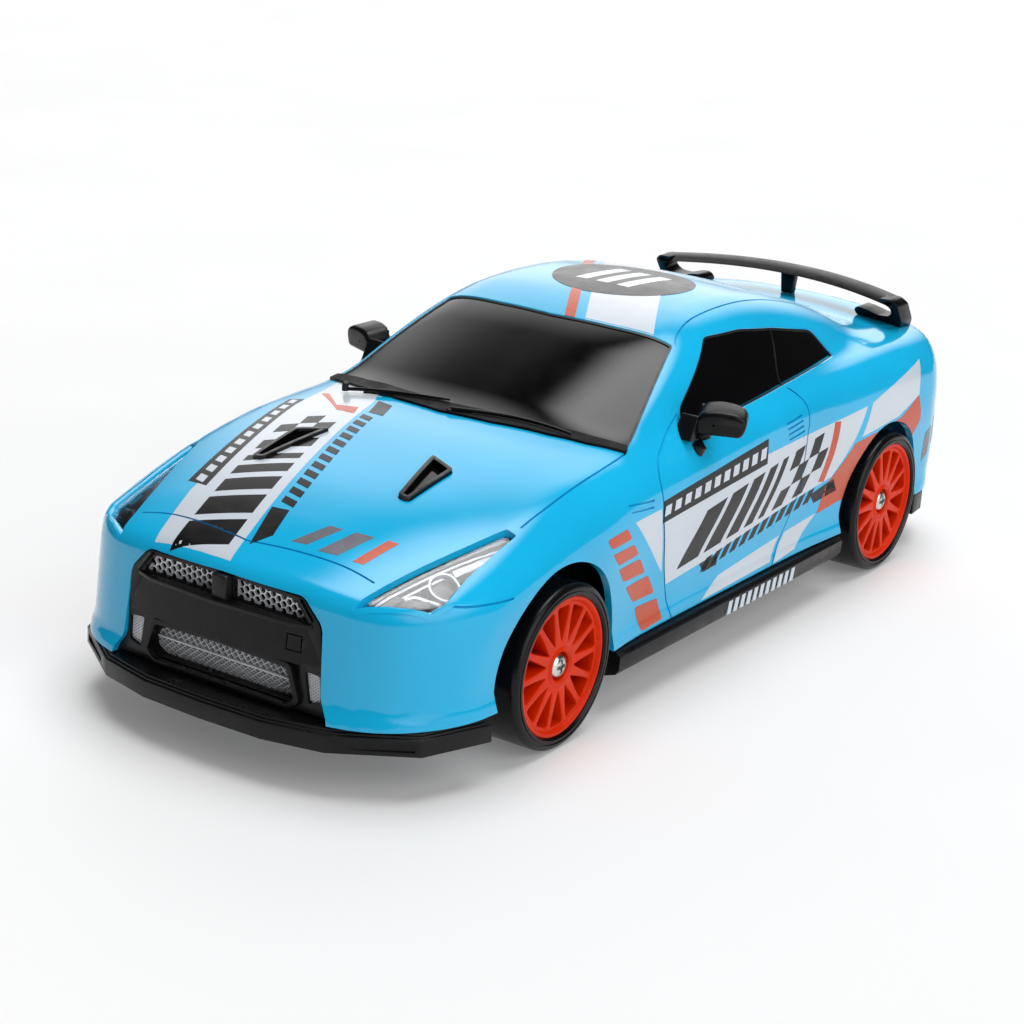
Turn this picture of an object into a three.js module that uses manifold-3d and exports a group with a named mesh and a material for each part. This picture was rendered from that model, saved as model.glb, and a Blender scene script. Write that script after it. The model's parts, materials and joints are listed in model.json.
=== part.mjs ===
// A 1:24 remote control coupe: moulded shell, glazing, trim, wheels, steering, rear drive and chassis.
// Millimetres. +Z up, z = 0 on the ground under the tyres, the nose points along -Y and +X is the car's left.
import * as THREE from "three";
import { mergeVertices } from "three/addons/utils/BufferGeometryUtils.js";
import Module from "manifold-3d";

const wasm = await Module();
wasm.setup();

// ---------------------------------------------------------------- driving dimensions
const FRONT_AXLE_Y = -56;
const REAR_AXLE_Y = 60;
const TYRE_RADIUS = 14;
const TYRE_WIDTH = 9.6;
const WHEEL_FACE_X = 39.6; // outer face of every tyre
const RIM_RADIUS = 11.7;
const TYRE_BORE = 12;
const FRONT_ARCH = { y: -56, z: 14, r: 17.2 };
const REAR_ARCH = { y: 59.8, z: 13.6, r: 16.6 };
const SHELL_FOOT_Z = 11.4; // lower edge of the painted shell
const SHELL_WALL = 1.3;
const GLASS_RECESS = 0.35;
const GLASS_DEPTH = 1.2;
const GAP = 0.3; // between pieces that lie against each other
const FLOOR_Z = 5.4;
const FLOOR_TOP = 7.2;
const STEER_ARM = 8; // from kingpin to tie rod
const KINGPIN_X = 28.6;

// Gear train, module 0.5: pinion 8 -> 28 and 12 -> 30 on the rear axle.
const GEAR_MODULE = 0.5;
const AXLE_TEETH = 30;
const COMPOUND_SMALL = 12;
const COMPOUND_LARGE = 28;
const PINION_TEETH = 8;
const COMPOUND_AT = [50.1, 17.5];
const MOTOR_AT = [41.23, 16];

// ---------------------------------------------------------------- small maths
const clamp01 = (t) => Math.min(1, Math.max(0, t));
const ramp = (v, from, to) => {
  const t = clamp01((v - from) / (to - from));
  return t * t * (3 - 2 * t);
};
const smoothMax = (a, b, k) => Math.max(a, b) + Math.max(k - Math.abs(a - b), 0) ** 2 / (4 * k);
const smoothMin = (a, b, k) => -smoothMax(-a, -b, k);

// A smooth line through [position, value] pairs.
function through(points) {
  const slope = points.map((p, i) => {
    const a = points[Math.max(i - 1, 0)];
    const b = points[Math.min(i + 1, points.length - 1)];
    return (b[1] - a[1]) / (b[0] - a[0]);
  });
  return (v) => {
    const last = points.length - 2;
    let i = 0;
    while (i < last && v > points[i + 1][0]) i += 1;
    const [x0, y0] = points[i];
    const [x1, y1] = points[i + 1];
    const w = x1 - x0;
    const t = clamp01((v - x0) / w);
    const t2 = t * t;
    const t3 = t2 * t;
    const inside =
      (2 * t3 - 3 * t2 + 1) * y0 + (t3 - 2 * t2 + t) * w * slope[i] +
      (3 * t2 - 2 * t3) * y1 + (t3 - t2) * w * slope[i + 1];
    const beyond = v < x0 ? (v - x0) * slope[i] : v > x1 ? (v - x1) * slope[i + 1] : 0;
    return inside + beyond;
  };
}

// ---------------------------------------------------------------- the body's outer surface
// The surface is the zero level of bodyField, which is close to a signed distance: negative inside.
const centreHeight = through([
  [-97, 30.4], [-91.5, 32.7], [-86, 34.7], [-79, 37], [-70, 39.5], [-60, 41.6], [-50, 43.2],
  [-40, 44.1], [-28, 44.6], [50, 44.4], [66, 44.6], [78, 44.9], [88, 45.2], [93, 44.8], [97, 43.4],
]);
const crestHeight = through([
  [-97, 25], [-92, 27.2], [-79, 32.3], [-62, 37.6], [-48, 40.3], [-36, 41.1], [-24, 41.5],
  [-10, 42.1], [12, 43], [30, 43.3], [60, 43.3], [80, 42.7], [90, 41.2], [97, 39],
]);
const roofHeight = through([
  [-30, 52], [-16, 55.4], [-5, 57.3], [5, 58.5], [15, 59], [25, 58.7], [35, 57.4], [45, 55.2],
  [55, 52.3], [65, 48.7], [74, 44.9], [86, 39],
]);
const tailDepth = through([[5, 94.5], [12, 96.6], [19, 97.9], [28, 97.3], [36, 96.6], [42, 95.2], [46, 94]]);

const CREST_X = 33;
const hoodHeight = (x, y) => {
  const c = centreHeight(y);
  return c - (c - crestHeight(y)) * (x / CREST_X) ** 2.6;
};
const noseWrap = (x) => 0.004 * x * x + 16.3 * (x / 39.7) ** 7;
const tailWrap = (x) => 0.0035 * x * x + 12 * (x / 39) ** 9;
const frontFlare = (y) => 1 / (1 + ((y + 57) / 21) ** 6);
const rearFlare = (y) => 1 / (1 + ((y - 61) / 24) ** 6);
const sideProfile = through([[5, 37.3], [11, 37], [15, 36.6], [21, 36.8], [28, 37.5], [34, 37.4], [42, 36.4]]);

function lowerField(x, y, z) {
  const lip = 0.9 * ramp(z, 14.6, 11.8);
  const flare = (1.2 * frontFlare(y) + 1.1 * rearFlare(y)) * ramp(z, 40, 29);
  const top = (z - hoodHeight(x, y)) * 0.95;
  const side = x - sideProfile(z) - flare - 0.5 * lip;
  const nose = -95.8 + 0.1 * (z - 14) + noseWrap(x) - y - lip;
  const tail = y - tailDepth(z) + tailWrap(x) - 0.6 * lip;
  let field = smoothMax(top, side, 6);
  field = smoothMax(field, nose, 2.4);
  return smoothMax(field, tail, 2.6);
}

const CABIN_FOOT_Z = 40; // the cabin is sunk this far into the lower body
function cabinField(x, y, z) {
  const glassY = -35 + (z - 44.5) * 2.54 + (15.4 - 0.274 * (z - 41.6)) * (x / 31) ** 3;
  const screen = (glassY - y) / 2.73;
  const roof = (z - roofHeight(y) + 1.1 * (x / 22) ** 2) * 0.93;
  const side = (x - 32.9 + 0.5 * (z - 43) + 0.0014 * (y - 5) ** 2) / 1.118;
  const foot = CABIN_FOOT_Z - z;
  return smoothMax(smoothMax(smoothMax(roof, side, 6.5), screen, 2.2), foot, 3);
}

function bodyField(x, y, z) {
  return smoothMin(lowerField(Math.abs(x), y, z), cabinField(Math.abs(x), y, z), 2.4);
}

// The skin is found along rays from a spine inside the body: flat fans at the two ends, rings between.
const SPINE_Z = 20;
const SPINE_ENDS = [-58, 62];
const RING_ANGLES = [0, 12, 24, 34, 44, 53, 62, 72, 84, 98, 114, 145, 180];
const FAN_ANGLES = [72, 57, 46, 36, 25, 12];
const RING_PLACES = [-58, -50, -42, -36, -30, -20, -8, 4, 18, 32, 44, 54, 62];
const RAY_LENGTH = 130;

const floored = (x, y, z) => Math.max(bodyField(x, y, z), 4 - z);

function skinPoint(fromY, fan, around, depth) {
  const a = THREE.MathUtils.degToRad(around);
  const f = THREE.MathUtils.degToRad(fan);
  const dir = [Math.sin(a) * Math.cos(f), Math.sin(f), Math.cos(a) * Math.cos(f)];
  let near = 0;
  let far = RAY_LENGTH;
  for (let i = 0; i < 34; i += 1) {
    const r = (near + far) / 2;
    if (floored(dir[0] * r, fromY + dir[1] * r, SPINE_Z + dir[2] * r) < -depth) near = r;
    else far = r;
  }
  return [dir[0] * near, fromY + dir[1] * near, SPINE_Z + dir[2] * near];
}

function bodySkin(depth) {
  const rings = [
    ...FAN_ANGLES.map((f) => [SPINE_ENDS[0], -f]),
    ...RING_PLACES.map((y) => [y, 0]),
    ...[...FAN_ANGLES].reverse().map((f) => [SPINE_ENDS[1], f]),
  ];
  const around = [...RING_ANGLES, ...RING_ANGLES.slice(1, -1).reverse().map((a) => -a)];
  const n = around.length;
  const verts = rings.flatMap(([y, f]) => around.map((a) => skinPoint(y, f, a, depth)));
  const nosePole = verts.push(skinPoint(SPINE_ENDS[0], -90, 0, depth)) - 1;
  const tailPole = verts.push(skinPoint(SPINE_ENDS[1], 90, 0, depth)) - 1;
  const faces = [];
  for (let j = 0; j < n; j += 1) {
    const k = (j + 1) % n;
    faces.push([nosePole, k, j]);
    for (let i = 0; i + 1 < rings.length; i += 1) {
      const [a, b, c, d] = [i * n + j, i * n + k, (i + 1) * n + k, (i + 1) * n + j];
      faces.push([a, b, d], [b, c, d]);
    }
    const last = (rings.length - 1) * n;
    faces.push([tailPole, last + j, last + k]);
  }
  return solidFrom(verts, faces);
}

// ---------------------------------------------------------------- solids
function solidFrom(verts, faces) {
  return new wasm.Manifold(
    new wasm.Mesh({
      numProp: 3,
      vertProperties: new Float32Array(verts.flat()),
      triVerts: new Uint32Array(faces.flat()),
    }),
  );
}

function solid(geometry) {
  const bare = geometry.index ? geometry.toNonIndexed() : geometry.clone();
  bare.deleteAttribute("normal");
  bare.deleteAttribute("uv");
  const merged = mergeVertices(bare, 1e-4);
  return new wasm.Manifold(
    new wasm.Mesh({
      numProp: 3,
      vertProperties: merged.attributes.position.array,
      triVerts: new Uint32Array(merged.index.array),
    }),
  );
}

function geometryOf(made) {
  const m = made.getMesh();
  const verts = new Float32Array(m.numVert * 3);
  for (let i = 0; i < m.numVert; i += 1) {
    verts.set(m.vertProperties.subarray(i * m.numProp, i * m.numProp + 3), i * 3);
  }
  const g = new THREE.BufferGeometry();
  g.setAttribute("position", new THREE.BufferAttribute(verts, 3));
  g.setIndex(new THREE.BufferAttribute(m.triVerts, 1));
  return g;
}

const join = (...parts) => parts.reduce((a, b) => a.add(b));
const cut = (from, ...tools) => tools.reduce((a, b) => a.subtract(b), from);
const mirrored = (made) => made.scale([-1, 1, 1]);

// A block between two opposite corners.
function block(x0, x1, y0, y1, z0, z1) {
  const g = new THREE.BoxGeometry(x1 - x0, y1 - y0, z1 - z0);
  return solid(g.translate((x0 + x1) / 2, (y0 + y1) / 2, (z0 + z1) / 2));
}

const shapeOf = (points) => new THREE.Shape(points.map(([a, b]) => new THREE.Vector2(a, b)));

// Outlines drawn in plan (x, y), from the side (y, z) or from the front (x, z), and pushed along the third axis.
const flatExtrude = (shape, depth, steps = 1) =>
  new THREE.ExtrudeGeometry(shape, { depth, steps, bevelEnabled: false, curveSegments: 8 });
const planPrism = (points, z0, z1) => solid(flatExtrude(shapeOf(points), z1 - z0).translate(0, 0, z0));
function sidePrism(points, x0, x1, steps = 1) {
  const g = flatExtrude(shapeOf(points), x1 - x0, steps);
  const axes = new THREE.Matrix4().makeBasis(
    new THREE.Vector3(0, 1, 0), new THREE.Vector3(0, 0, 1), new THREE.Vector3(1, 0, 0),
  );
  return solid(g.applyMatrix4(axes).translate(x0, 0, 0));
}
function frontPrism(points, y0, y1) {
  const g = flatExtrude(shapeOf(points), y1 - y0);
  return solid(g.rotateX(Math.PI / 2).translate(0, y1, 0));
}

// A round bar along x, y or z.
function bar(axis, radius, from, to, a, b, sides = 16) {
  const g = new THREE.CylinderGeometry(radius, radius, to - from, sides);
  const mid = (from + to) / 2;
  if (axis === "x") return solid(g.rotateZ(Math.PI / 2).translate(mid, a, b));
  if (axis === "y") return solid(g.translate(a, mid, b));
  return solid(g.rotateX(Math.PI / 2).translate(a, b, mid));
}

// A profile of [radius, x] pairs turned about the x axis.
function turned(profile, sides = 24) {
  const g = new THREE.LatheGeometry(profile.map(([r, x]) => new THREE.Vector2(r, x)), sides);
  return solid(g.rotateZ(-Math.PI / 2));
}

// An outline moved outwards by a distance (inwards when it is negative), with mitred corners.
function grown(points, by) {
  const n = points.length;
  const area = points.reduce((s, [x, y], i) => {
    const [u, v] = points[(i + 1) % n];
    return s + x * v - u * y;
  }, 0);
  const outward = (a, b) => {
    const d = Math.hypot(b[0] - a[0], b[1] - a[1]) * Math.sign(area);
    return [(b[1] - a[1]) / d, (a[0] - b[0]) / d];
  };
  return points.map((p, i) => {
    const m = outward(points[(i + n - 1) % n], p);
    const k = outward(p, points[(i + 1) % n]);
    const share = by / (1 + m[0] * k[0] + m[1] * k[1]);
    return [p[0] + (m[0] + k[0]) * share, p[1] + (m[1] + k[1]) * share];
  });
}
const both = (half) => [...half, ...half.filter(([x]) => x > 0).reverse().map(([x, y]) => [-x, y])];

// ---------------------------------------------------------------- openings in the shell
const WINDSCREEN = both([
  [0, -35.2], [10, -34.5], [20, -32.4], [26, -30], [31, -27.2], [24.2, -2.8], [12, -4.4], [0, -5],
]);
const REAR_SCREEN = both([[0, 40.5], [10, 40.8], [18.5, 42], [20.6, 69], [12, 71.4], [0, 72]]);
const SIDE_WINDOW = [
  [-12.3, 41.9], [-11.2, 46.1], [5.2, 55], [17, 54.5], [29, 52.8], [44.2, 49.8], [49.4, 44.2],
  [25, 43.7], [5, 42.9],
];
const HEADLIGHT = [
  [23.6, -91.2], [33.2, -84.5], [33.9, -81.8], [33.4, -76.1], [33.5, -69.5], [33.6, -63.4], [31.8, -63.6],
  [29.6, -71.1], [27.1, -79], [25.2, -85.3],
];
const MOUTH = both([[0, 30.6], [15.7, 30.2], [19.3, 26.3], [20.1, 14.7], [22, 12], [22, 5], [0, 5]]);
const DUCT = [[10.5, -54.5], [16.5, -56.7], [16.2, -68.4], [13.8, -68.4]];
const LAMPS = { outer: 30.4, inner: 20.6, z: 32.4, r: 3.9 };
const VALANCE = both([[0, 16.5], [17, 16.5], [21, 12], [21, 5], [0, 5]]);

const outerSkin = bodySkin(0);
const glassFace = bodySkin(GLASS_RECESS);
const glassBack = bodySkin(GLASS_DEPTH);
const glassLayer = cut(glassFace, glassBack);
const keepGap = (points) => grown(points, -GAP);

const window = (outline) => planPrism(outline, 36, 70);
const sideOpening = (outline) => sidePrism(outline, 20, 42);
const headlightOpening = (outline) => planPrism(outline, 27, 45);
const lampBar = (x, r) => bar("y", r, 80, 110, x, LAMPS.z, 20);

// ---------------------------------------------------------------- body shell
const BOSS = { y: [-72, 84], r: 2.6, top: [37.6, 43.8], foot: 9, bore: 1.25, depth: 12 };

function bodyShell() {
  const wall = cut(outerSkin, bodySkin(SHELL_WALL), block(-60, 60, -110, 110, 0, SHELL_FOOT_Z));
  const side = join(sideOpening(SIDE_WINDOW), headlightOpening(HEADLIGHT), planPrism(DUCT, 34, 50));
  const openings = [
    window(WINDSCREEN), window(REAR_SCREEN), side, mirrored(side),
    frontPrism(MOUTH, -110, -86), frontPrism(VALANCE, 88, 110),
    bar("x", FRONT_ARCH.r, -50, 50, FRONT_ARCH.y, FRONT_ARCH.z, 32),
    bar("x", REAR_ARCH.r, -50, 50, REAR_ARCH.y, REAR_ARCH.z, 32),
    ...[1, -1].flatMap((s) => [lampBar(s * LAMPS.outer, LAMPS.r), lampBar(s * LAMPS.inner, LAMPS.r)]),
  ];
  const bosses = BOSS.y.map((y, i) => bar("z", BOSS.r, BOSS.foot, BOSS.top[i], 0, y));
  const bores = BOSS.y.map((y) => bar("z", BOSS.bore, BOSS.foot - 1, BOSS.foot + BOSS.depth, 0, y));
  return cut(join(cut(wall, ...openings), ...bosses), ...bores);
}

const windscreen = () => glassLayer.intersect(window(keepGap(WINDSCREEN)));
const rearScreen = () => glassLayer.intersect(window(keepGap(REAR_SCREEN)));
const sideWindow = () => glassLayer.intersect(sideOpening(keepGap(SIDE_WINDOW)));
const headlightLens = () => glassLayer.intersect(headlightOpening(keepGap(HEADLIGHT)));
const tailLamp = (x) => cut(bodySkin(-0.2), glassBack).intersect(lampBar(x, LAMPS.r - GAP));

// The silvered bowl sits behind the lens and follows it at a constant depth.
function headlightReflector() {
  const bowl = cut(bodySkin(1.6), bodySkin(3.4)).intersect(planPrism(grown(HEADLIGHT, -0.9), 20, 45));
  return cut(bowl, bar("z", 1.5, 29, 40, 30.6, -79, 14));
}

// ---------------------------------------------------------------- front and rear trim
const BUMPER_BAR = both([[0, 25.8], [19, 25.8], [19.6, 19.5], [0, 19.5]]);

function grilleInsert() {
  const frame = frontPrism(keepGap(MOUTH.map(([x, z]) => [x, Math.max(z, SHELL_FOOT_Z)])), -93, -90.6);
  const upper = both([[0, 29.9], [14.6, 29.4], [16.4, 26.4], [0, 26.4]]);
  const lower = both([[0, 18.6], [13.2, 18.2], [14.6, 13.4], [13.4, 12.2], [0, 12.2]]);
  const pocket = [[16, 18], [18.8, 18], [19.2, 14], [16.6, 14]];
  const holes = [frontPrism(upper, -96, -88), frontPrism(lower, -96, -88)];
  const pockets = [frontPrism(pocket, -94, -91.6), mirrored(frontPrism(pocket, -94, -91.6))];
  return join(
    cut(frame, ...holes, ...pockets),
    frontPrism(BUMPER_BAR, -95.2, -91).intersect(glassFace),
    block(-1.7, 1.7, -93.4, -91, 25, 30.2),
  );
}

const meshUpper = () => block(-16.6, 16.6, -90.2, -89.2, 26, 29.7);
const meshLower = () => block(-15, 15, -90.2, -89.2, 11.8, 18.9);

const SPLITTER_EDGE = [[0, -98.5], [12, -98.1], [22.4, -95.6], [34.6, -87.2], [39.1, -75.2]];
function splitter() {
  const inner = [[36, -75.2], [30.5, -82.5], [18, -87.5], [0, -88.5]];
  const tray = planPrism(both([...SPLITTER_EDGE, ...inner]), 7.4, SHELL_FOOT_Z - GAP);
  const slot = planPrism([[25.5, -93.2], [33.6, -87.4], [34, -90], [26, -96]], 8.2, 9.3);
  return cut(tray, slot, mirrored(slot));
}

function sideSkirt() {
  const top = SHELL_FOOT_Z - GAP;
  return frontPrism([[36.2, 6.4], [38.7, 7.2], [39.2, 10.4], [38.4, top], [36.2, top]], -38.4, 42.4);
}

// The black lower edge of the tail, with a raised middle between two pairs of exhaust tips.
function rearValance() {
  const edge = [[0, 98.5], [14, 98], [26, 95.4], [34, 89.5], [37.6, 82], [38.1, 77]];
  const inner = [[35.6, 77], [34.6, 81], [30, 87], [20, 90.5], [0, 91.5]];
  const tray = planPrism(both([...edge, ...inner]), 6.8, SHELL_FOOT_Z - GAP);
  const middle = frontPrism(both([[0, 16], [16.7, 16], [20.4, 11.9], [20.4, 8], [0, 8]]), 92, 96.4);
  const plate = block(-8, 8, 96, 96.9, 12, 15);
  const pipes = [-17.2, -13.4, 13.4, 17.2].map((x) => bar("y", 1.7, 90, 98.2, x, 9.6, 14));
  return join(tray, middle, plate, ...pipes);
}

// A boxy housing swept back at its outer end, with the glass face left open as a shallow recess.
const MIRROR = { at: [38.2, -8.6, 45.2], sweep: 25 };

function mirror() {
  const outline = [[-4.3, -2.5], [-4.4, 0.2], [-2.9, 1.8], [2.6, 2], [4.3, 1.2], [4.4, -0.4], [3.7, -2.6]];
  const shell = frontPrism(outline, -1.9, 2.4).rotate([0, 0, MIRROR.sweep]);
  const recess = block(-3.8, 3.7, 2, 4, -2, 1.4).rotate([0, 0, MIRROR.sweep]);
  const head = cut(shell, recess).translate(MIRROR.at);
  const sail = sidePrism([[-12.6, 39.4], [-9, 39.4], [-8, 43.6], [-11, 44.6]], 34.2, 36.9);
  return cut(join(head, sail), bodySkin(-GAP));
}

const hoodDuct = () => cut(bodySkin(-0.5), bodySkin(2)).intersect(planPrism(keepGap(DUCT), 34, 50));

// The cowl strip closes the gap between bonnet and windscreen; both wipers are moulded on it.
const COWL_EDGE = both([
  [0, -40], [10, -39.2], [20, -36.2], [26, -33.4], [31.6, -28.9], [31, -27.9], [25.8, -31], [20, -33.4],
  [10, -35.6], [0, -36.2],
]);

function wiper(x0, x1) {
  const tipY = -34.8 + 0.004 * x1 * x1;
  return planPrism([[x0, -36.6], [x1, tipY], [x1, tipY + 1.1], [x0, -35.3]], 40, 52);
}

function cowl() {
  const outline = join(planPrism(COWL_EDGE, 40, 52), wiper(2, 22), wiper(-20, 0));
  return cut(bodySkin(-0.9), bodySkin(-GAP)).intersect(outline);
}

// The blade arches: its ends are lower and further forward than its middle.
const WING = { half: 27.6, sweep: 5, drop: 1.5 };

function rearWing() {
  const section = [[83.3, 49.8], [85.5, 51.1], [88.7, 51.5], [88.6, 51], [86.4, 50.4], [83.8, 49.4]];
  const blade = sidePrism(section, -WING.half, WING.half, 12).warp((p) => {
    const away = (p[0] / WING.half) ** 2;
    p[1] -= WING.sweep * away;
    p[2] -= WING.drop * away;
  });
  const curl = [
    [25.2, 50.2], [27.6, 50.4], [28.9, 49], [28.9, 44.6], [27.9, 42.4], [24, 43], [18.4, 44.6],
    [18.2, 46.8], [20.2, 47.1], [23.6, 46], [25.8, 46.4], [26.5, 47.6], [26, 48.8],
  ];
  const end = frontPrism(curl, 79.4, 85.4);
  const post = frontPrism(both([[0, 50.6], [1.9, 50.6], [1.1, 43.7], [0, 43.7]]), 85.6, 87.6);
  return cut(join(blade, end, mirrored(end), post), bodySkin(-GAP));
}

// ---------------------------------------------------------------- wheels
const SPOKES = 14;
const HUB = { r: 2.5, bore: 1.6, recess: 1.2 };
const BARREL_BORE = 10.5;

function tyre() {
  const x1 = WHEEL_FACE_X;
  const x0 = x1 - TYRE_WIDTH;
  const c = 1.1; // shoulder chamfer
  const ring = [
    [TYRE_BORE, x0], [TYRE_RADIUS - c, x0], [TYRE_RADIUS, x0 + c], [TYRE_RADIUS, x1 - c],
    [TYRE_RADIUS - c, x1], [TYRE_BORE, x1], [TYRE_BORE, x0],
  ];
  return turned(ring);
}

// One spoke gap, as a four-sided hole between two spokes.
function spokeGap(i) {
  const half = Math.PI / SPOKES;
  const mid = 2 * half * i;
  const at = (r, t) => [r * Math.sin(mid + t), r * Math.cos(mid + t)];
  return [at(5, -half * 0.45), at(9.9, -half * 0.72), at(9.9, half * 0.72), at(5, half * 0.45)];
}

function rim() {
  const x1 = WHEEL_FACE_X - 0.5;
  const x0 = x1 - 8.4;
  const bead = RIM_RADIUS - 0.5;
  const barrel = turned([
    [BARREL_BORE, x0], [bead, x0], [bead, x1 - 1], [RIM_RADIUS, x1 - 0.8], [RIM_RADIUS, x1],
    [BARREL_BORE, x1], [BARREL_BORE, x0],
  ]);
  const disc = new THREE.Shape().absarc(0, 0, BARREL_BORE + 0.4, 0, 2 * Math.PI, false);
  for (let i = 0; i < SPOKES; i += 1) {
    disc.holes.push(new THREE.Path(spokeGap(i).map(([a, b]) => new THREE.Vector2(a, b))));
  }
  const face = new THREE.ExtrudeGeometry(disc, { depth: 1.8, bevelEnabled: false, curveSegments: 24 });
  face.rotateY(Math.PI / 2).translate(x1 - 2.6, 0, 0);
  const boss = bar("x", 3.6, x1 - 7, x1 - 1, 0, 0, 14);
  const bore = bar("x", HUB.bore, 20, 50, 0, 0, 16);
  const pocket = bar("x", HUB.r, x1 - 1 - HUB.recess, 50, 0, 0, 16);
  return cut(join(barrel, solid(face), boss), bore, pocket);
}

// A pan-head screw: head in the hub pocket, cross slot outwards, thread core inside the axle end.
function wheelScrew() {
  const face = WHEEL_FACE_X - 0.5 - 1;
  const head = bar("x", 2.1, face - HUB.recess + 0.1, face + 0.3, 0, 0, 14);
  const shank = bar("x", 0.7, face - 5.2, face - 0.6, 0, 0, 8);
  const slot = block(face - 0.2, face + 1, -1.3, 1.3, -0.28, 0.28);
  const crossSlot = block(face - 0.2, face + 1, -0.28, 0.28, -1.3, 1.3);
  return cut(join(head, shank), slot, crossSlot);
}
const SCREW_SEAT_X = WHEEL_FACE_X - 1.5 - HUB.recess; // where an axle end stops behind the screw head
const AXLE_R = HUB.bore - 0.1;
const axleEnd = (from) =>
  cut(bar("x", AXLE_R, from, SCREW_SEAT_X - 0.2, 0, 0, 16), bar("x", 0.95, SCREW_SEAT_X - 5, 50, 0, 0, 10));

// ---------------------------------------------------------------- steering
const ARM_TOP = [20.2, 22.4];
const ARM_LOW = [5.4, 7.8];

// A knuckle block on its kingpin, with the steering arm pointing back to the tie rod.
function knuckle() {
  const y = FRONT_AXLE_Y;
  const z = TYRE_RADIUS;
  const upright = block(KINGPIN_X - 2.4, KINGPIN_X + 1.2, y - 3, y + 3, 8.4, 19.6);
  const pin = bar("z", 1.1, 6, 21.8, KINGPIN_X - 0.6, y, 14);
  const arm = block(KINGPIN_X - 4.4, KINGPIN_X - 1, y, y + STEER_ARM + 1.4, 16.2, 18.2);
  const link = bar("z", 1, 17, 21.6, KINGPIN_X - 2.7, y + STEER_ARM, 12);
  return cut(join(upright, pin, arm, link), bar("x", AXLE_R + 0.12, 20, 50, y, z, 16));
}
const PIVOT_X = KINGPIN_X - 0.6;
const LINK_X = KINGPIN_X - 2.7;
const LINK_Y = FRONT_AXLE_Y + STEER_ARM;

function tieRod() {
  const z0 = 18.8;
  const z1 = 20.6;
  const beam = block(-LINK_X - 2.4, LINK_X + 2.4, LINK_Y - 3, LINK_Y + 2.4, z0, z1);
  const slot = (x) => block(x - 1.25, x + 1.25, LINK_Y - 2.2, LINK_Y + 1.6, 10, 25);
  const relief = (x0, x1) => block(x0, x1, LINK_Y - 4, LINK_Y - 1.1, 10, 25);
  return cut(beam, slot(LINK_X), slot(-LINK_X), slot(0), relief(4, 20), relief(-20, -4));
}

// The horn turns on the servo's shaft and its pin works in the middle slot of the tie rod.
const HORN = { y: LINK_Y - 6.4, arm: 6.4 };
function servoHorn() {
  const hub = bar("z", 2.2, 22.6, 24.6, 0, HORN.y, 16);
  const shaft = bar("z", 1.1, 20, 23, 0, HORN.y, 12);
  const arm = block(-1.2, 1.2, HORN.y, HORN.y + HORN.arm + 1, 22.6, 24.2);
  const pin = bar("z", 1, 19, 23, 0, HORN.y + HORN.arm, 12);
  return join(hub, shaft, arm, pin);
}

function servoCase() {
  const box = block(-9, 9, HORN.y - 9.5, HORN.y + 2.9, FLOOR_TOP + GAP, 22.2);
  return cut(box, bar("z", 1.2, 18, 30, 0, HORN.y, 12));
}

const TRIM = { x: 0, y: -78, r: 3 };
function trimLever() {
  const disc = bar("z", TRIM.r, 4.3, 5.1, TRIM.x, TRIM.y, 18);
  const pin = bar("z", 1.1, 5, 9, TRIM.x, TRIM.y, 12);
  const pointer = block(TRIM.x - 0.8, TRIM.x + 0.8, TRIM.y - 6, TRIM.y, 4.3, 5.1);
  return join(disc, pin, pointer);
}

// ---------------------------------------------------------------- drive
// A spur gear about the x axis, with straight-sided teeth thin enough to run with some backlash.
function gear(teeth, x0, x1, [y, z], bore, phase) {
  const r = (GEAR_MODULE * teeth) / 2;
  const pitch = (2 * Math.PI) / teeth;
  const outline = [];
  const tooth = [[r - 0.58, -0.29], [r + 0.36, -0.12], [r + 0.36, 0.12], [r - 0.58, 0.29]];
  for (let i = 0; i < teeth; i += 1) {
    const t = i * pitch + phase;
    for (const [radius, share] of tooth) {
      outline.push([y + radius * Math.sin(t + share * pitch), z + radius * Math.cos(t + share * pitch)]);
    }
  }
  const wheel = sidePrism(outline, x0, x1);
  return bore ? cut(wheel, bar("x", bore, x0 - 1, x1 + 1, y, z, 16)) : wheel;
}

const REAR_AXLE = [REAR_AXLE_Y, TYRE_RADIUS];
const GEAR_X = { axle: [6.6, 9.4], large: [10.2, 12.6], pinion: [10, 12.8] };

// Each gear's phase puts a tooth of the driver in a gap of the driven wheel on the line of centres.
const lineAngle = (from, to) => Math.atan2(to[0] - from[0], to[1] - from[1]);
const gapOn = (angle, teeth) => angle + Math.PI / teeth;

const rearAxle = () => join(axleEnd(-1), mirrored(axleEnd(-1)));

function axleGear() {
  const phase = gapOn(lineAngle(REAR_AXLE, COMPOUND_AT), AXLE_TEETH);
  return gear(AXLE_TEETH, ...GEAR_X.axle, REAR_AXLE, HUB.bore + 0.25, phase);
}

function compoundGear() {
  const small = gear(COMPOUND_SMALL, 6.2, 10.3, COMPOUND_AT, 0, lineAngle(COMPOUND_AT, REAR_AXLE));
  const meshed = gapOn(lineAngle(COMPOUND_AT, MOTOR_AT), COMPOUND_LARGE);
  const large = gear(COMPOUND_LARGE, ...GEAR_X.large, COMPOUND_AT, 0, meshed);
  const spindle = bar("x", 0.9, 4.4, 15, ...COMPOUND_AT, 12);
  return join(small, large, spindle);
}

function motorPinion() {
  const teeth = gear(PINION_TEETH, ...GEAR_X.pinion, MOTOR_AT, 0, lineAngle(MOTOR_AT, COMPOUND_AT));
  return join(teeth, bar("x", 0.9, 1, 13.4, ...MOTOR_AT, 12));
}

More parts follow.
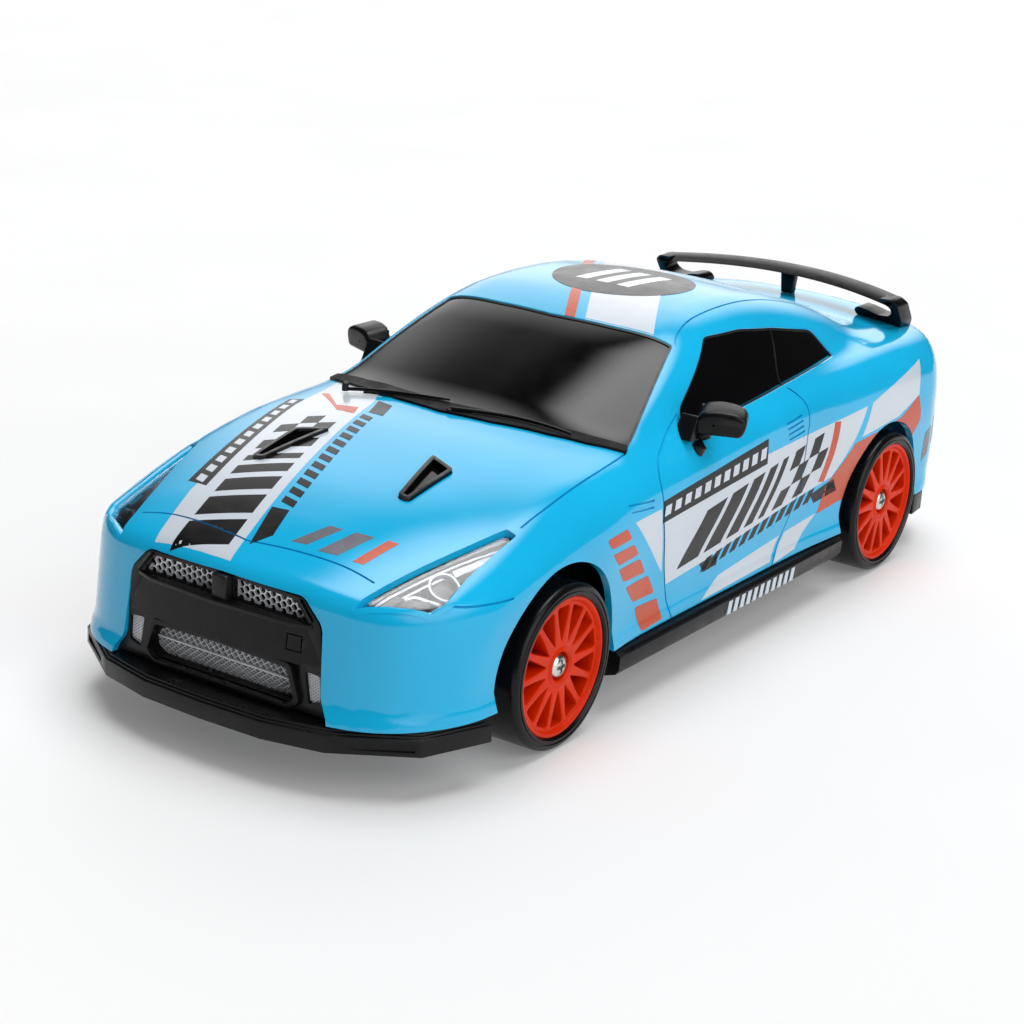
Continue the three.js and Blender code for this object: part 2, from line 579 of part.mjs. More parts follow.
function motor() {
  const can = bar("x", 9.6, -20, 2.4, ...MOTOR_AT, 28);
  const flats = block(-21, 5, MOTOR_AT[0] - 12, MOTOR_AT[0] + 12, MOTOR_AT[1] - 7.4, MOTOR_AT[1] + 7.4);
  const nose = bar("x", 3, 2, 3.6, ...MOTOR_AT, 16);
  return cut(join(can.intersect(flats), nose), bar("x", 1, 0.5, 6, ...MOTOR_AT, 12));
}

// Two side plates carry the rear axle and the reduction gear; a bridge over the gears joins them.
function gearboxCase() {
  const [ay, az] = REAR_AXLE;
  const plate = (x0, x1) =>
    sidePrism([[45, FLOOR_TOP + GAP], [70, FLOOR_TOP + GAP], [70, 22], [64, 25.6], [45, 25.6]], x0, x1);
  const bridge = block(4, 16.4, 60, 64, 23.6, 25.6);
  const box = join(plate(3.9, 5.4), plate(14.2, 16.4), bridge);
  return cut(
    box,
    bar("x", HUB.bore, 0, 20, ay, az, 16),
    bar("x", 0.98, 0, 20, ...COMPOUND_AT, 12),
  );
}

// ---------------------------------------------------------------- chassis
const CHASSIS_OUTLINE = both([
  [0, -84], [17, -84], [20, -78], [20.5, -36], [35.6, -36], [35.6, 40.5], [23.4, 40.5], [23.4, 79],
  [30, 80], [24, 87], [0, 89],
]);
const BATTERY = { x: [-16, 16], y: [-14, 16] };
const TAB = { half: 3.5, y1: 21, screwY: 19 };
const SWITCH = { x: -24, y: 26, travel: 3 };

function chassisTub() {
  const y = FRONT_AXLE_Y;
  const floor = planPrism(CHASSIS_OUTLINE, FLOOR_Z, FLOOR_TOP);
  const rails = [
    block(33.8, 35.6, -36, 40.5, FLOOR_Z, SHELL_FOOT_Z - GAP),
    block(19, 20.5, -78, -62, FLOOR_Z, 14), block(19, 20.5, -45, -36, FLOOR_Z, 14),
  ];
  // Each front corner is a C-shaped bracket that holds the kingpin above and below.
  const bracket = join(
    block(19, 21, y - 4, y + 4, FLOOR_Z, ARM_TOP[1]),
    block(19, PIVOT_X + 2, y - 3, y + 3, ARM_TOP[0], ARM_TOP[1]),
    block(19, PIVOT_X + 2, y - 3, y + 3, ARM_LOW[0], ARM_LOW[1]),
  );
  const rearPost = cut(
    block(20.6, 23.4, 55.6, 64.4, FLOOR_Z, 18.6),
    bar("x", HUB.bore, 15, 30, ...REAR_AXLE, 16),
  );
  const corner = join(...rails, bracket, rearPost);
  const tray = cut(
    block(BATTERY.x[0] - 2, BATTERY.x[1] + 2, BATTERY.y[0] - 2, BATTERY.y[1] + 2, FLOOR_Z, 15),
    block(BATTERY.x[0] - GAP, BATTERY.x[1] + GAP, BATTERY.y[0] - GAP, BATTERY.y[1] + GAP, 0, 30),
  );
  const doorBoss = block(-TAB.half, TAB.half, 17, 21.4, FLOOR_Z, 14);
  const well = block(BATTERY.x[0] - GAP, BATTERY.x[1] + GAP, BATTERY.y[0] - GAP, BATTERY.y[1] + GAP, 0, 8);
  const kingpins = [1, -1].map((s) => bar("z", 1.18, 0, 30, s * PIVOT_X, y, 14));
  const pins = BOSS.y.map((by) => bar("z", 1.2, 0, 20, 0, by, 12));
  return cut(
    cut(join(floor, corner, mirrored(corner), tray, doorBoss), well, ...kingpins, ...pins),
    bar("z", 1.2, 0, 20, TRIM.x, TRIM.y, 14),
    block(SWITCH.x - 2.3, SWITCH.x + 2.3, SWITCH.y - 2.5 - SWITCH.travel, SWITCH.y + 2.5, 0, 10),
    block(5.9, 10.1, 50, 70, 0, 10),
    block(-TAB.half - GAP, TAB.half + GAP, 15, TAB.y1 + GAP, 0, 8),
    bar("z", 1.2, 0, 20, 0, TAB.screwY, 12),
  );
}

const batteryPack = () => {
  const [y0, y1] = BATTERY.y;
  const cells = [-10.6, 0, 10.6].map((x) => bar("y", 5.35, y0 + 0.6, y1 - 0.6, x, 13.6, 18));
  return join(...cells, block(-12, 12, y0 + 2, y1 - 2, 10, 14));
};
function batteryDoor() {
  const { x, y } = BATTERY;
  return cut(
    join(
      block(x[0], x[1], y[0], y[1], FLOOR_Z, FLOOR_TOP),
      block(-TAB.half, TAB.half, y[1] - 1, TAB.y1, FLOOR_Z, FLOOR_TOP),
      block(x[0] + 1, x[1] - 1, y[0] + 1, y[0] + 3, 7, 8),
    ),
    bar("z", 1.2, 0, 20, 0, TAB.screwY, 12),
  );
}
const circuitBoard = () =>
  join(
    block(-15, 15, 18.9, 29.4, 16.6, 17.8),
    block(-12, -4, 20, 27, 17.7, 19.6), block(1, 6, 21, 26, 17.7, 19),
    block(11, 13, 20, 28, 15, 16.7), block(-14, -12, 20, 28, 8, 16.7), block(12, 14, 20, 28, 8, 16.7),
  );

// A screw standing on its head, driven up from below.
const upScrew = (x, y, z0, length, headR, shankR) =>
  join(bar("z", headR, z0, z0 + 1, x, y, 14), bar("z", shankR, z0 + 0.8, z0 + length, x, y, 10));

const powerSwitch = () => join(
  block(SWITCH.x - 1.9, SWITCH.x + 1.9, SWITCH.y - 2, SWITCH.y + 2, 4.4, 8),
  block(SWITCH.x - 3.4, SWITCH.x + 3.4, SWITCH.y - 3.6, SWITCH.y + 3.6, FLOOR_TOP + GAP, 9),
);

// ---------------------------------------------------------------- assembly
const paint = (color, roughness, metalness = 0, opacity = 1) =>
  new THREE.MeshStandardMaterial({ color, roughness, metalness, opacity, transparent: opacity < 1 });
const FINISH = {
  blue: () => paint(0x2fb4ee, 0.12),
  smoked: () => paint(0x08090b, 0.05),
  clear: () => paint(0xdfe6ea, 0.05, 0, 0.35),
  red: () => paint(0xa01414, 0.1),
  silver: () => paint(0xc8ccd0, 0.2, 1),
  black: () => paint(0x141416, 0.45),
  tyre: () => paint(0x101010, 0.3),
  orange: () => paint(0xf2430d, 0.25),
  steel: () => paint(0xb4b8bc, 0.3, 1),
  nylon: () => paint(0xe8e6de, 0.5),
  green: () => paint(0x1d6b3c, 0.45),
  yellow: () => paint(0xd8b21c, 0.4),
};

const car = new THREE.Group();
const groups = Object.fromEntries(
  ["shell", "trim", "wheels", "steering", "drive", "chassis"].map((name) => {
    const group = new THREE.Group();
    car.add(group);
    return [name, group];
  }),
);

function place(group, name, made, finish, at = [0, 0, 0]) {
  const mesh = new THREE.Mesh(geometryOf(made), FINISH[finish]());
  mesh.name = name;
  mesh.position.set(...at);
  groups[group].add(mesh);
}

// The same piece on both sides of the car.
function pair(group, name, made, finish, at) {
  place(group, `${name}_left`, made, finish, at);
  place(group, `${name}_right`, mirrored(made), finish, at);
}

place("shell", "body_shell", bodyShell(), "blue");
place("shell", "windshield", windscreen(), "smoked");
place("shell", "rear_window", rearScreen(), "smoked");
pair("shell", "side_window", sideWindow(), "smoked");
pair("shell", "headlight_lens", headlightLens(), "clear");
pair("shell", "headlight_reflector", headlightReflector(), "silver");
pair("shell", "tail_lamp_outer", tailLamp(LAMPS.outer), "red");
pair("shell", "tail_lamp_inner", tailLamp(LAMPS.inner), "red");

place("trim", "grille_insert", grilleInsert(), "black");
place("trim", "grille_mesh_upper", meshUpper(), "silver");
place("trim", "grille_mesh_lower", meshLower(), "silver");
place("trim", "front_splitter", splitter(), "black");
pair("trim", "side_skirt", sideSkirt(), "black");
place("trim", "rear_valance", rearValance(), "black");
pair("trim", "mirror", mirror(), "black");
pair("trim", "hood_duct", hoodDuct(), "black");
place("trim", "cowl_panel", cowl(), "black");
place("trim", "rear_wing", rearWing(), "black");

for (const [end, y] of [["front", FRONT_AXLE_Y], ["rear", REAR_AXLE_Y]]) {
  const centre = [0, y, TYRE_RADIUS];
  pair("wheels", `${end}_tyre`, tyre(), "tyre", centre);
  pair("wheels", `${end}_rim`, rim(), "orange", centre);
  pair("wheels", `${end}_wheel_screw`, wheelScrew(), "steel", centre);
}

pair("steering", "steering_knuckle", knuckle(), "black");
pair("steering", "stub_axle", axleEnd(KINGPIN_X - 4), "steel", [0, FRONT_AXLE_Y, TYRE_RADIUS]);
place("steering", "tie_rod", tieRod(), "nylon");
place("steering", "servo_case", servoCase(), "black");
place("steering", "servo_horn", servoHorn(), "nylon");
place("steering", "trim_lever", trimLever(), "black");

place("drive", "rear_axle", rearAxle(), "steel", [0, REAR_AXLE_Y, TYRE_RADIUS]);
place("drive", "axle_gear", axleGear(), "nylon");
place("drive", "compound_gear", compoundGear(), "nylon");
place("drive", "motor_pinion", motorPinion(), "steel");
place("drive", "drive_motor", motor(), "steel");
place("drive", "gearbox_case", gearboxCase(), "black");

place("chassis", "chassis_tub", chassisTub(), "black");
place("chassis", "battery_pack", batteryPack(), "yellow");
place("chassis", "battery_door", batteryDoor(), "black");
place("chassis", "battery_door_screw", upScrew(0, TAB.screwY, 4.3, 8, 2, 1), "steel");
place("chassis", "circuit_board", circuitBoard(), "green");
place("chassis", "power_switch", powerSwitch(), "black");
BOSS.y.forEach((y, i) => {
  place("chassis", ["body_screw_front", "body_screw_rear"][i], upScrew(0, y, 4.3, 9, 2, 1), "steel");
});

export default car;
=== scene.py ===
"""A 1:24 remote control coupe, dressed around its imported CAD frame.

Working lengths are millimetres in the frame's axes: +Z up, nose towards -Y, +X is the car's left.
Everything becomes metres where a mesh is made.
"""

import json
import math
from contextlib import contextmanager

import bmesh
import bpy
import numpy as np
from mathutils import Matrix, Vector


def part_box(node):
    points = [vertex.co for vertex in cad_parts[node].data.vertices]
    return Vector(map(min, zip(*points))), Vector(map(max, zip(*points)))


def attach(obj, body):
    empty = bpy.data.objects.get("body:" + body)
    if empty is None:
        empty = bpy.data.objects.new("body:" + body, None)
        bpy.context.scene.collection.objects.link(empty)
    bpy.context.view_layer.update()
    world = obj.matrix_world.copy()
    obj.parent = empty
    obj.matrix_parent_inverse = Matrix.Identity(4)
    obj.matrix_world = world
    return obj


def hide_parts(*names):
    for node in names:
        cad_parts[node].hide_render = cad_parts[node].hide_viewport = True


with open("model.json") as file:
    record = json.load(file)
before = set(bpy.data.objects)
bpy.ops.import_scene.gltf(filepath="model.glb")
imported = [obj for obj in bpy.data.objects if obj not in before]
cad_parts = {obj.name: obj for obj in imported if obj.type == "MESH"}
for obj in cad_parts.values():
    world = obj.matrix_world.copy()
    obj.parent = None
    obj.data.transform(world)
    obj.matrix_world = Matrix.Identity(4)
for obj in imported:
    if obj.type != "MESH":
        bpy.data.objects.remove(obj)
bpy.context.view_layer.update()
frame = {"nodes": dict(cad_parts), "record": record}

MM = 0.001
SIDES = (("left", 1), ("right", -1))


def low_high(node):
    """A CAD node's corners in millimetres."""
    low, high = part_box(node)
    return np.array(low) / MM, np.array(high) / MM


def wheel_centre(node):
    """The y and z of a tyre's axis, and how far its outer face is from the car's middle."""
    low, high = low_high(node)
    return (low[1] + high[1]) / 2, (low[2] + high[2]) / 2, max(abs(low[0]), abs(high[0]))


FRONT_Y, AXLE_Z, WHEEL_FACE = wheel_centre("front_tyre_left")
REAR_Y = wheel_centre("rear_tyre_left")[0]
TYRE_R = low_high("front_tyre_left")[1][2] - AXLE_Z
SHELL_FOOT = 11.4
WALL = 1.3
# How far the glass's two faces lie under the skin.
RECESS = 0.35
GLASS_DEPTH = 1.2
ARCHES = ((FRONT_Y, 14, 17.2), (REAR_Y - 0.2, 13.6, 16.6))  # y, z and radius of each wheel arch

# ---- the body's outer surface


def ramp(v, start, end):
    """A smooth step from 0 at start to 1 at end."""
    t = np.clip((v - start) / (end - start), 0, 1)
    return t * t * (3 - 2 * t)


def smooth_max(a, b, k):
    """The greater of two fields, with a round of about k where they meet."""
    return np.maximum(a, b) + np.maximum(k - np.abs(a - b), 0) ** 2 / (4 * k)


def through(points):
    """A smooth line through (position, value) pairs, straight beyond its ends."""
    x, y = np.array(points, float).T
    n = len(x)
    low, high = np.maximum(np.arange(n) - 1, 0), np.minimum(np.arange(n) + 1, n - 1)
    slope = (y[high] - y[low]) / (x[high] - x[low])

    def value(v):
        i = np.clip(np.searchsorted(x, v) - 1, 0, n - 2)
        w = x[i + 1] - x[i]
        t = np.clip((v - x[i]) / w, 0, 1)
        flat = y[i] + (y[i + 1] - y[i]) * t * t * (3 - 2 * t)
        inside = flat + w * t * (1 - t) * (slope[i] * (1 - t) - slope[i + 1] * t)
        before = np.minimum(v - x[0], 0) * slope[0]
        after = np.maximum(v - x[-1], 0) * slope[-1]
        return inside + before + after

    return value


centre_height = through(
    [(-97, 30.4), (-91.5, 32.7), (-86, 34.7), (-79, 37), (-70, 39.5), (-60, 41.6), (-50, 43.2),
     (-40, 44.1), (-28, 44.6), (50, 44.4), (66, 44.6), (78, 44.9), (88, 45.2), (93, 44.8), (97, 43.4)]
)
crest_height = through(
    [(-97, 25), (-92, 27.2), (-79, 32.3), (-62, 37.6), (-48, 40.3), (-36, 41.1), (-24, 41.5),
     (-10, 42.1), (12, 43), (30, 43.3), (60, 43.3), (80, 42.7), (90, 41.2), (97, 39)]
)
roof_height = through(
    [(-30, 52), (-16, 55.4), (-5, 57.3), (5, 58.5), (15, 59), (25, 58.7), (35, 57.4), (45, 55.2),
     (55, 52.3), (65, 48.7), (74, 44.9), (86, 39)]
)
tail_depth = through([(5, 94.5), (12, 96.6), (19, 97.9), (28, 97.3), (36, 96.6), (42, 95.2), (46, 94)])
side_profile = through([(5, 37.3), (11, 37), (15, 36.6), (21, 36.8), (28, 37.5), (34, 37.4), (42, 36.4)])


# Every field is negative inside and close to a distance in millimetres near the surface.
def lower_field(x, y, z):
    """The body up to its shoulders, for x of 0 or more."""
    lip = 0.9 * ramp(z, 14.6, 11.8)
    front = 1 / (1 + ((y + 57) / 21) ** 6)
    rear = 1 / (1 + ((y - 61) / 24) ** 6)
    flare = (1.2 * front + 1.1 * rear) * ramp(z, 40, 29)
    centre = centre_height(y)
    top = (z - centre + (centre - crest_height(y)) * (x / 33) ** 2.6) * 0.95
    tuck = 2.2 * ramp(z, 30, 44) * ramp(y, 72, 94)
    side = x - side_profile(z) - flare - 0.5 * lip + tuck
    nose = -95.8 + 0.1 * (z - 14) + 0.004 * x**2 + 16.3 * (x / 39.7) ** 7 - y - lip
    tail = y - tail_depth(z) + 0.0035 * x**2 + 12 * (x / 39) ** 9 - 0.6 * lip
    return smooth_max(smooth_max(smooth_max(top, side, 6), nose, 2.4), tail, 2.6)


def cabin_field(x, y, z):
    """The roof and its pillars, for x of 0 or more."""
    glass_y = -35 + (z - 44.5) * 2.54 + (15.4 - 0.274 * (z - 41.6)) * (x / 31) ** 3
    screen = (glass_y - y) / 2.73
    roof = (z - roof_height(y) + 1.1 * (x / 22) ** 2) * 0.93
    side = (x - 32.9 + 0.5 * (z - 43) + 0.0014 * (y - 5) ** 2) / 1.118
    upper = smooth_max(smooth_max(roof, side, 6.5), screen, 2.2)
    return smooth_max(upper, 40 - z, 3)


def body_field(x, y, z):
    """The whole outer surface, on both sides of the car."""
    x = np.abs(x)
    return -smooth_max(-lower_field(x, y, z), -cabin_field(x, y, z), 2.4)


def unit(vectors):
    return vectors / np.maximum(np.linalg.norm(vectors, axis=1, keepdims=True), 1e-9)


def gradient(points):
    """The outward direction of the surface at each point."""
    step = 0.02
    out = np.empty_like(points)
    for axis in range(3):
        shift = np.zeros(3)
        shift[axis] = step
        ahead, behind = (points + shift).T, (points - shift).T
        out[:, axis] = body_field(*ahead) - body_field(*behind)
    return unit(out)


# The skin is found along rays from a spine inside the body: flat fans at the two ends, rings between.
SPINE_Z = 20
SPINE_ENDS = (-58, 62)
SKIN_FLOOR = 4
RAY_LENGTH = 130.0
HALVINGS = 30
# How many rings, fan steps and points in a ring.
FINE = (110, 52, 176)
COARSE = (44, 18, 64)


def skin_points(depth, start_y, fan, around):
    """Where the rays meet the surface that lies depth under the skin."""
    direction = np.array([np.sin(around) * np.cos(fan), np.sin(fan), np.cos(around) * np.cos(fan)])
    start = np.array([np.zeros_like(fan), start_y, np.full_like(fan, SPINE_Z)])
    near, far = np.zeros_like(fan), np.full_like(fan, RAY_LENGTH)
    for _ in range(HALVINGS):
        r = (near + far) / 2
        x, y, z = start + direction * r
        inside = np.maximum(body_field(x, y, z), SKIN_FLOOR - z) < -depth
        near, far = np.where(inside, r, near), np.where(inside, far, r)
    return (start + direction * near).T


def body_skin(depth, detail=FINE):
    """The closed solid inside the surface that lies depth under the skin."""
    rings, fans, columns = detail
    nose = [(SPINE_ENDS[0], -a) for a in np.linspace(90, 0, fans + 1)[1:-1]]
    middle = [(y, 0) for y in np.linspace(*SPINE_ENDS, rings)]
    tail = [(SPINE_ENDS[1], a) for a in np.linspace(0, 90, fans + 1)[1:-1]]
    start, fan = np.array(nose + middle + tail, float).T
    around = np.radians(np.arange(columns) * 360 / columns)
    rows = len(start)
    leaning = np.radians(np.repeat(fan, columns))
    grid = skin_points(depth, np.repeat(start, columns), leaning, np.tile(around, rows))
    ends = skin_points(depth, np.array(SPINE_ENDS, float), np.radians([-90.0, 90.0]), np.zeros(2))
    first, last = rows * columns, rows * columns + 1
    ring = [(j, (j + 1) % columns) for j in range(columns)]
    caps = [(first, b, a) for a, b in ring]
    caps += [(last, first - columns + a, first - columns + b) for a, b in ring]
    return solid("skin", np.vstack([grid, ends]), grid_faces(rows, columns) + caps)


# ---- mesh tools
def solid(name, points, faces):
    """A new object from points in millimetres."""
    mesh = bpy.data.meshes.new(name)
    mesh.from_pydata((np.asarray(points, float) * MM).tolist(), [], [list(map(int, f)) for f in faces])
    mesh.validate()
    obj = bpy.data.objects.new(name, mesh)
    bpy.context.scene.collection.objects.link(obj)
    return obj


@contextmanager
def editing(mesh):
    """A mesh opened for editing; what is done to it is written back."""
    bm = bmesh.new()
    bm.from_mesh(mesh)
    yield bm
    bm.to_mesh(mesh)
    bm.free()


def discard(*objects):
    for obj in objects:
        bpy.data.objects.remove(obj, do_unlink=True)


def applied(obj):
    """The object with its modifiers worked into its mesh."""
    view = bpy.context.evaluated_depsgraph_get()
    mesh = bpy.data.meshes.new_from_object(obj.evaluated_get(view))
    obj.modifiers.clear()
    obj.data = mesh
    return obj


def combine(obj, tools, operation, keep=False):
    """A boolean with one tool or several; the tools are used up unless they are kept."""
    for tool in tools if isinstance(tools, (list, tuple)) else [tools]:
        modifier = obj.modifiers.new("combine", "BOOLEAN")
        modifier.solver = "MANIFOLD"
        modifier.operation = operation
        modifier.object = tool
        applied(obj)
        if not keep:
            discard(tool)
    return obj


def cut(obj, tools, keep=False):
    return combine(obj, tools, "DIFFERENCE", keep)


def common(obj, tool, keep=False):
    return combine(obj, tool, "INTERSECT", keep)


def join(obj, tools):
    return combine(obj, tools, "UNION")


def copied(obj):
    twin = obj.copy()
    twin.data = obj.data.copy()
    bpy.context.scene.collection.objects.link(twin)
    return twin


def mirrored(obj):
    """The same piece on the other side of the car."""
    twin = copied(obj)
    twin.data.transform(Matrix.Scale(-1, 4, (1, 0, 0)))
    twin.data.flip_normals()
    return twin


def grid_faces(rows, columns, closed=False):
    """Quads between neighbouring rows of points; each row is a ring, and closed rows make a ring too."""
    return [
        (i * columns + j, i * columns + (j + 1) % columns, k * columns + (j + 1) % columns, k * columns + j)
        for i, k in zip(range(rows), [*range(1, rows), *([0] if closed else [])])
        for j in range(columns)
    ]


def loft(sections, name="loft"):
    """A closed solid through sections with equal numbers of points."""
    n = len(sections[0])
    points = [p for section in sections for p in section]
    ends = [tuple(range(n)), tuple(range(len(points) - n, len(points)))]
    return faced_out(solid(name, points, grid_faces(len(sections), n) + ends))


def swept(axis, a, b, t):
    """A point of an outline (a, b), pushed t along an axis."""
    return {"x": (t, a, b), "y": (a, t, b), "z": (a, b, t)}[axis]


def prism(outline, axis, low, high, name="prism"):
    """An outline pushed along an axis: (y, z) along x, (x, z) along y or (x, y) along z."""
    return loft([[swept(axis, a, b, t) for a, b in outline] for t in (low, high)], name)


def faced_out(obj):
    """The same closed solid with every face turned outwards."""
    with editing(obj.data) as bm:
        bmesh.ops.recalc_face_normals(bm, faces=bm.faces)
    return obj


def merged(objects):
    """Separate closed pieces as one object, with no boolean."""
    first, *others = objects
    with editing(first.data) as bm:
        for obj in others:
            bm.from_mesh(obj.data)
    discard(*others)
    return first


def block(x0, x1, y0, y1, z0, z1, bevel=0.0):
    obj = prism([(x0, y0), (x1, y0), (x1, y1), (x0, y1)], "z", z0, z1, "block")
    return rounded(obj, bevel) if bevel else obj


def rounded(obj, width, segments=3, angle=35):
    """Edges sharper than the angle get a round of this width."""
    modifier = obj.modifiers.new("round", "BEVEL")
    modifier.width = width * MM
    modifier.segments = segments
    modifier.limit_method = "ANGLE"
    modifier.angle_limit = math.radians(angle)
    modifier.harden_normals = False
    return applied(obj)


def shaded(obj, angle=30):
    """Smooth shading with creases kept at edges sharper than the angle."""
    obj.data.shade_smooth()
    obj.data.set_sharp_from_angle(angle=math.radians(angle))
    return obj


def circle(a, b, r, n=48, start=0.0):
    turns = [start + 2 * math.pi * i / n for i in range(n)]
    return [(a + r * math.cos(t), b + r * math.sin(t)) for t in turns]


def bar(axis, r, low, high, a, b, n=32):
    return prism(circle(a, b, r, n), axis, low, high, "bar")


def lathe(profile, n=96):
    """A closed profile of (radius, x) turned about the x axis."""
    turns = [2 * math.pi * i / n for i in range(n)]
    points = [(x, r * math.sin(t), r * math.cos(t)) for t in turns for r, x in profile]
    return faced_out(solid("lathe", points, grid_faces(n, len(profile), closed=True)))


def moved(obj, x=0.0, y=0.0, z=0.0):
    obj.data.transform(Matrix.Translation(Vector((x, y, z)) * MM))
    return obj


def grown(outline, by):
    """An outline moved outwards by a distance (inwards when it is negative), with mitred corners."""
    p = np.array(outline, float)
    area = np.sum(p[:, 0] * np.roll(p[:, 1], -1) - np.roll(p[:, 0], -1) * p[:, 1])
    along = np.roll(p, -1, axis=0) - p
    along /= np.linalg.norm(along, axis=1, keepdims=True) * np.sign(area)
    out = np.column_stack([along[:, 1], -along[:, 0]])
    before = np.roll(out, 1, axis=0)
    share = by / (1 + np.sum(out * before, axis=1))
    return (p + (out + before) * share[:, None]).tolist()


def softened(outline, r, steps=4):
    """The outline with each corner cut by a curve that starts r from the corner."""
    p = np.array(outline, float)
    turns = np.linspace(0, 1, steps + 1)[:, None]
    done = []
    for before, corner, after in zip(np.roll(p, 1, axis=0), p, np.roll(p, -1, axis=0)):
        a, b = (corner + (q - corner) * min(r / np.linalg.norm(q - corner), 0.45) for q in (before, after))
        done += (a * (1 - turns) ** 2 + 2 * corner * turns * (1 - turns) + b * turns**2).tolist()
    return done


def ribbon(line, width):
    """An open line as a thin closed outline."""
    p = np.array(line, float)
    along = np.gradient(p, axis=0)
    along /= np.linalg.norm(along, axis=1, keepdims=True)
    across = np.column_stack([-along[:, 1], along[:, 0]]) * width / 2
    return (p + across).tolist() + (p - across)[::-1].tolist()


def curve(points, steps=8):
    """A smooth line through a few points."""
    p = np.array(points, float)
    p = np.vstack([2 * p[0] - p[1], p, 2 * p[-1] - p[-2]])
    done = []
    for i in range(1, len(p) - 2):
        for t in np.arange(steps) / steps:
            done.append(
                0.5 * (2 * p[i] + (p[i + 1] - p[i - 1]) * t
                       + (2 * p[i - 1] - 5 * p[i] + 4 * p[i + 1] - p[i + 2]) * t**2
                       + (3 * p[i] - p[i - 1] - 3 * p[i + 1] + p[i + 2]) * t**3)
            )
    done.append(p[-2])
    return [tuple(q) for q in done]


def both(half):
    """A half outline, given from the middle of the car outwards and back, with its mirror image."""
    return half + [(-x, y) for x, y in reversed(half) if x > 0]


FOLLOWS = 0.86  # the least cosine between a face and the surface that it follows


def read(items, attribute, width=1, kind=float):
    """One attribute of all of a mesh's items, as an array."""
    values = np.empty(len(items) * width, kind)
    items.foreach_get(attribute, values)
    return values.reshape(-1, width) if width > 1 else values


def skin_shaded(obj, angle=30):
    """Faces that follow the body's surface take their shading from the surface itself."""
    mesh = obj.data
    mesh.shade_smooth()
    mesh.set_sharp_from_angle(angle=math.radians(angle))
    corners = np.array([c.vector for c in mesh.corner_normals])
    outward = gradient(read(mesh.vertices, "co", 3) / MM)[read(mesh.loops, "vertex_index", kind=int)]
    face = np.repeat(read(mesh.polygons, "normal", 3), read(mesh.polygons, "loop_total", kind=int), axis=0)
    facing = np.sum(face * outward, axis=1)
    follows = np.abs(facing) > FOLLOWS
    corners[follows] = outward[follows] * np.sign(facing[follows])[:, None]
    mesh.normals_split_custom_set(corners.tolist())
    return obj


_skins = {}


def skin(depth, detail=FINE):
    """A fresh copy of the body skin at a depth; each is worked out once."""
    if (depth, detail) not in _skins:
        obj = body_skin(depth, detail)
        _skins[depth, detail] = obj.data.copy()
        discard(obj)
    obj = bpy.data.objects.new("skin", _skins[depth, detail].copy())
    bpy.context.scene.collection.objects.link(obj)
    return obj


def layer(outer, inner, detail=FINE):
    """What lies between two depths under the skin."""
    return cut(skin(outer, detail), skin(inner, detail))


def on_skin(outline, axis, outside, inside, depth=0.0):
    """Where lines along an axis, through the points of an outline, enter the body."""
    a, b = np.array(outline, float).T
    far, near = np.full_like(a, outside), np.full_like(a, inside)
    for _ in range(34):
        middle = (far + near) / 2
        solid_here = body_field(*swept(axis, a, b, middle)) < -depth
        near, far = np.where(solid_here, middle, near), np.where(solid_here, far, middle)
    return np.column_stack(swept(axis, a, b, near))


def spaced(outline, step=0.8, closed=True):
    """An outline with points at most a step apart."""
    p = np.array(outline, float)
    ends = np.roll(p, -1, axis=0) if closed else p[1:]
    done = []
    for a, b in zip(p, ends):
        n = max(1, int(np.ceil(np.linalg.norm(b - a) / step)))
        done += [(a + (b - a) * i / n).tolist() for i in range(n)]
    return done if closed else done + [p[-1].tolist()]


def rim(outline, axis, outside, inside, profile):
    """A closed strip along an outline on the skin; its profile is (out from it, up from the skin)."""
    p = on_skin(spaced(outline), axis, outside, inside)
    up = unit(gradient(p))
    along = unit(np.roll(p, -1, axis=0) - np.roll(p, 1, axis=0))
    out = unit(np.cross(along, up))
    out *= np.sign(np.mean(np.sum(out * (p - p.mean(axis=0)), axis=1)))
    points = np.stack([p + out * a + up * b for a, b in profile], axis=1).reshape(-1, 3)
    return faced_out(solid("rim", points, grid_faces(len(p), len(profile), closed=True)))


def tube(points, radii, sides=12):
    """A round rod through points in millimetres, closed at both ends."""
    p = np.array(points, float)
    radii = np.broadcast_to(radii, len(p))
    along = unit(np.gradient(p, axis=0))
    aside = unit(np.cross(along, np.array([0.3, 0.2, 0.93])))
    up = np.cross(along, aside)
    turns = np.arange(sides) * 2 * math.pi / sides
    rings = zip(p, radii, aside, up)
    return loft([[q + r * (math.cos(t) * a + math.sin(t) * b) for t in turns] for q, r, a, b in rings])


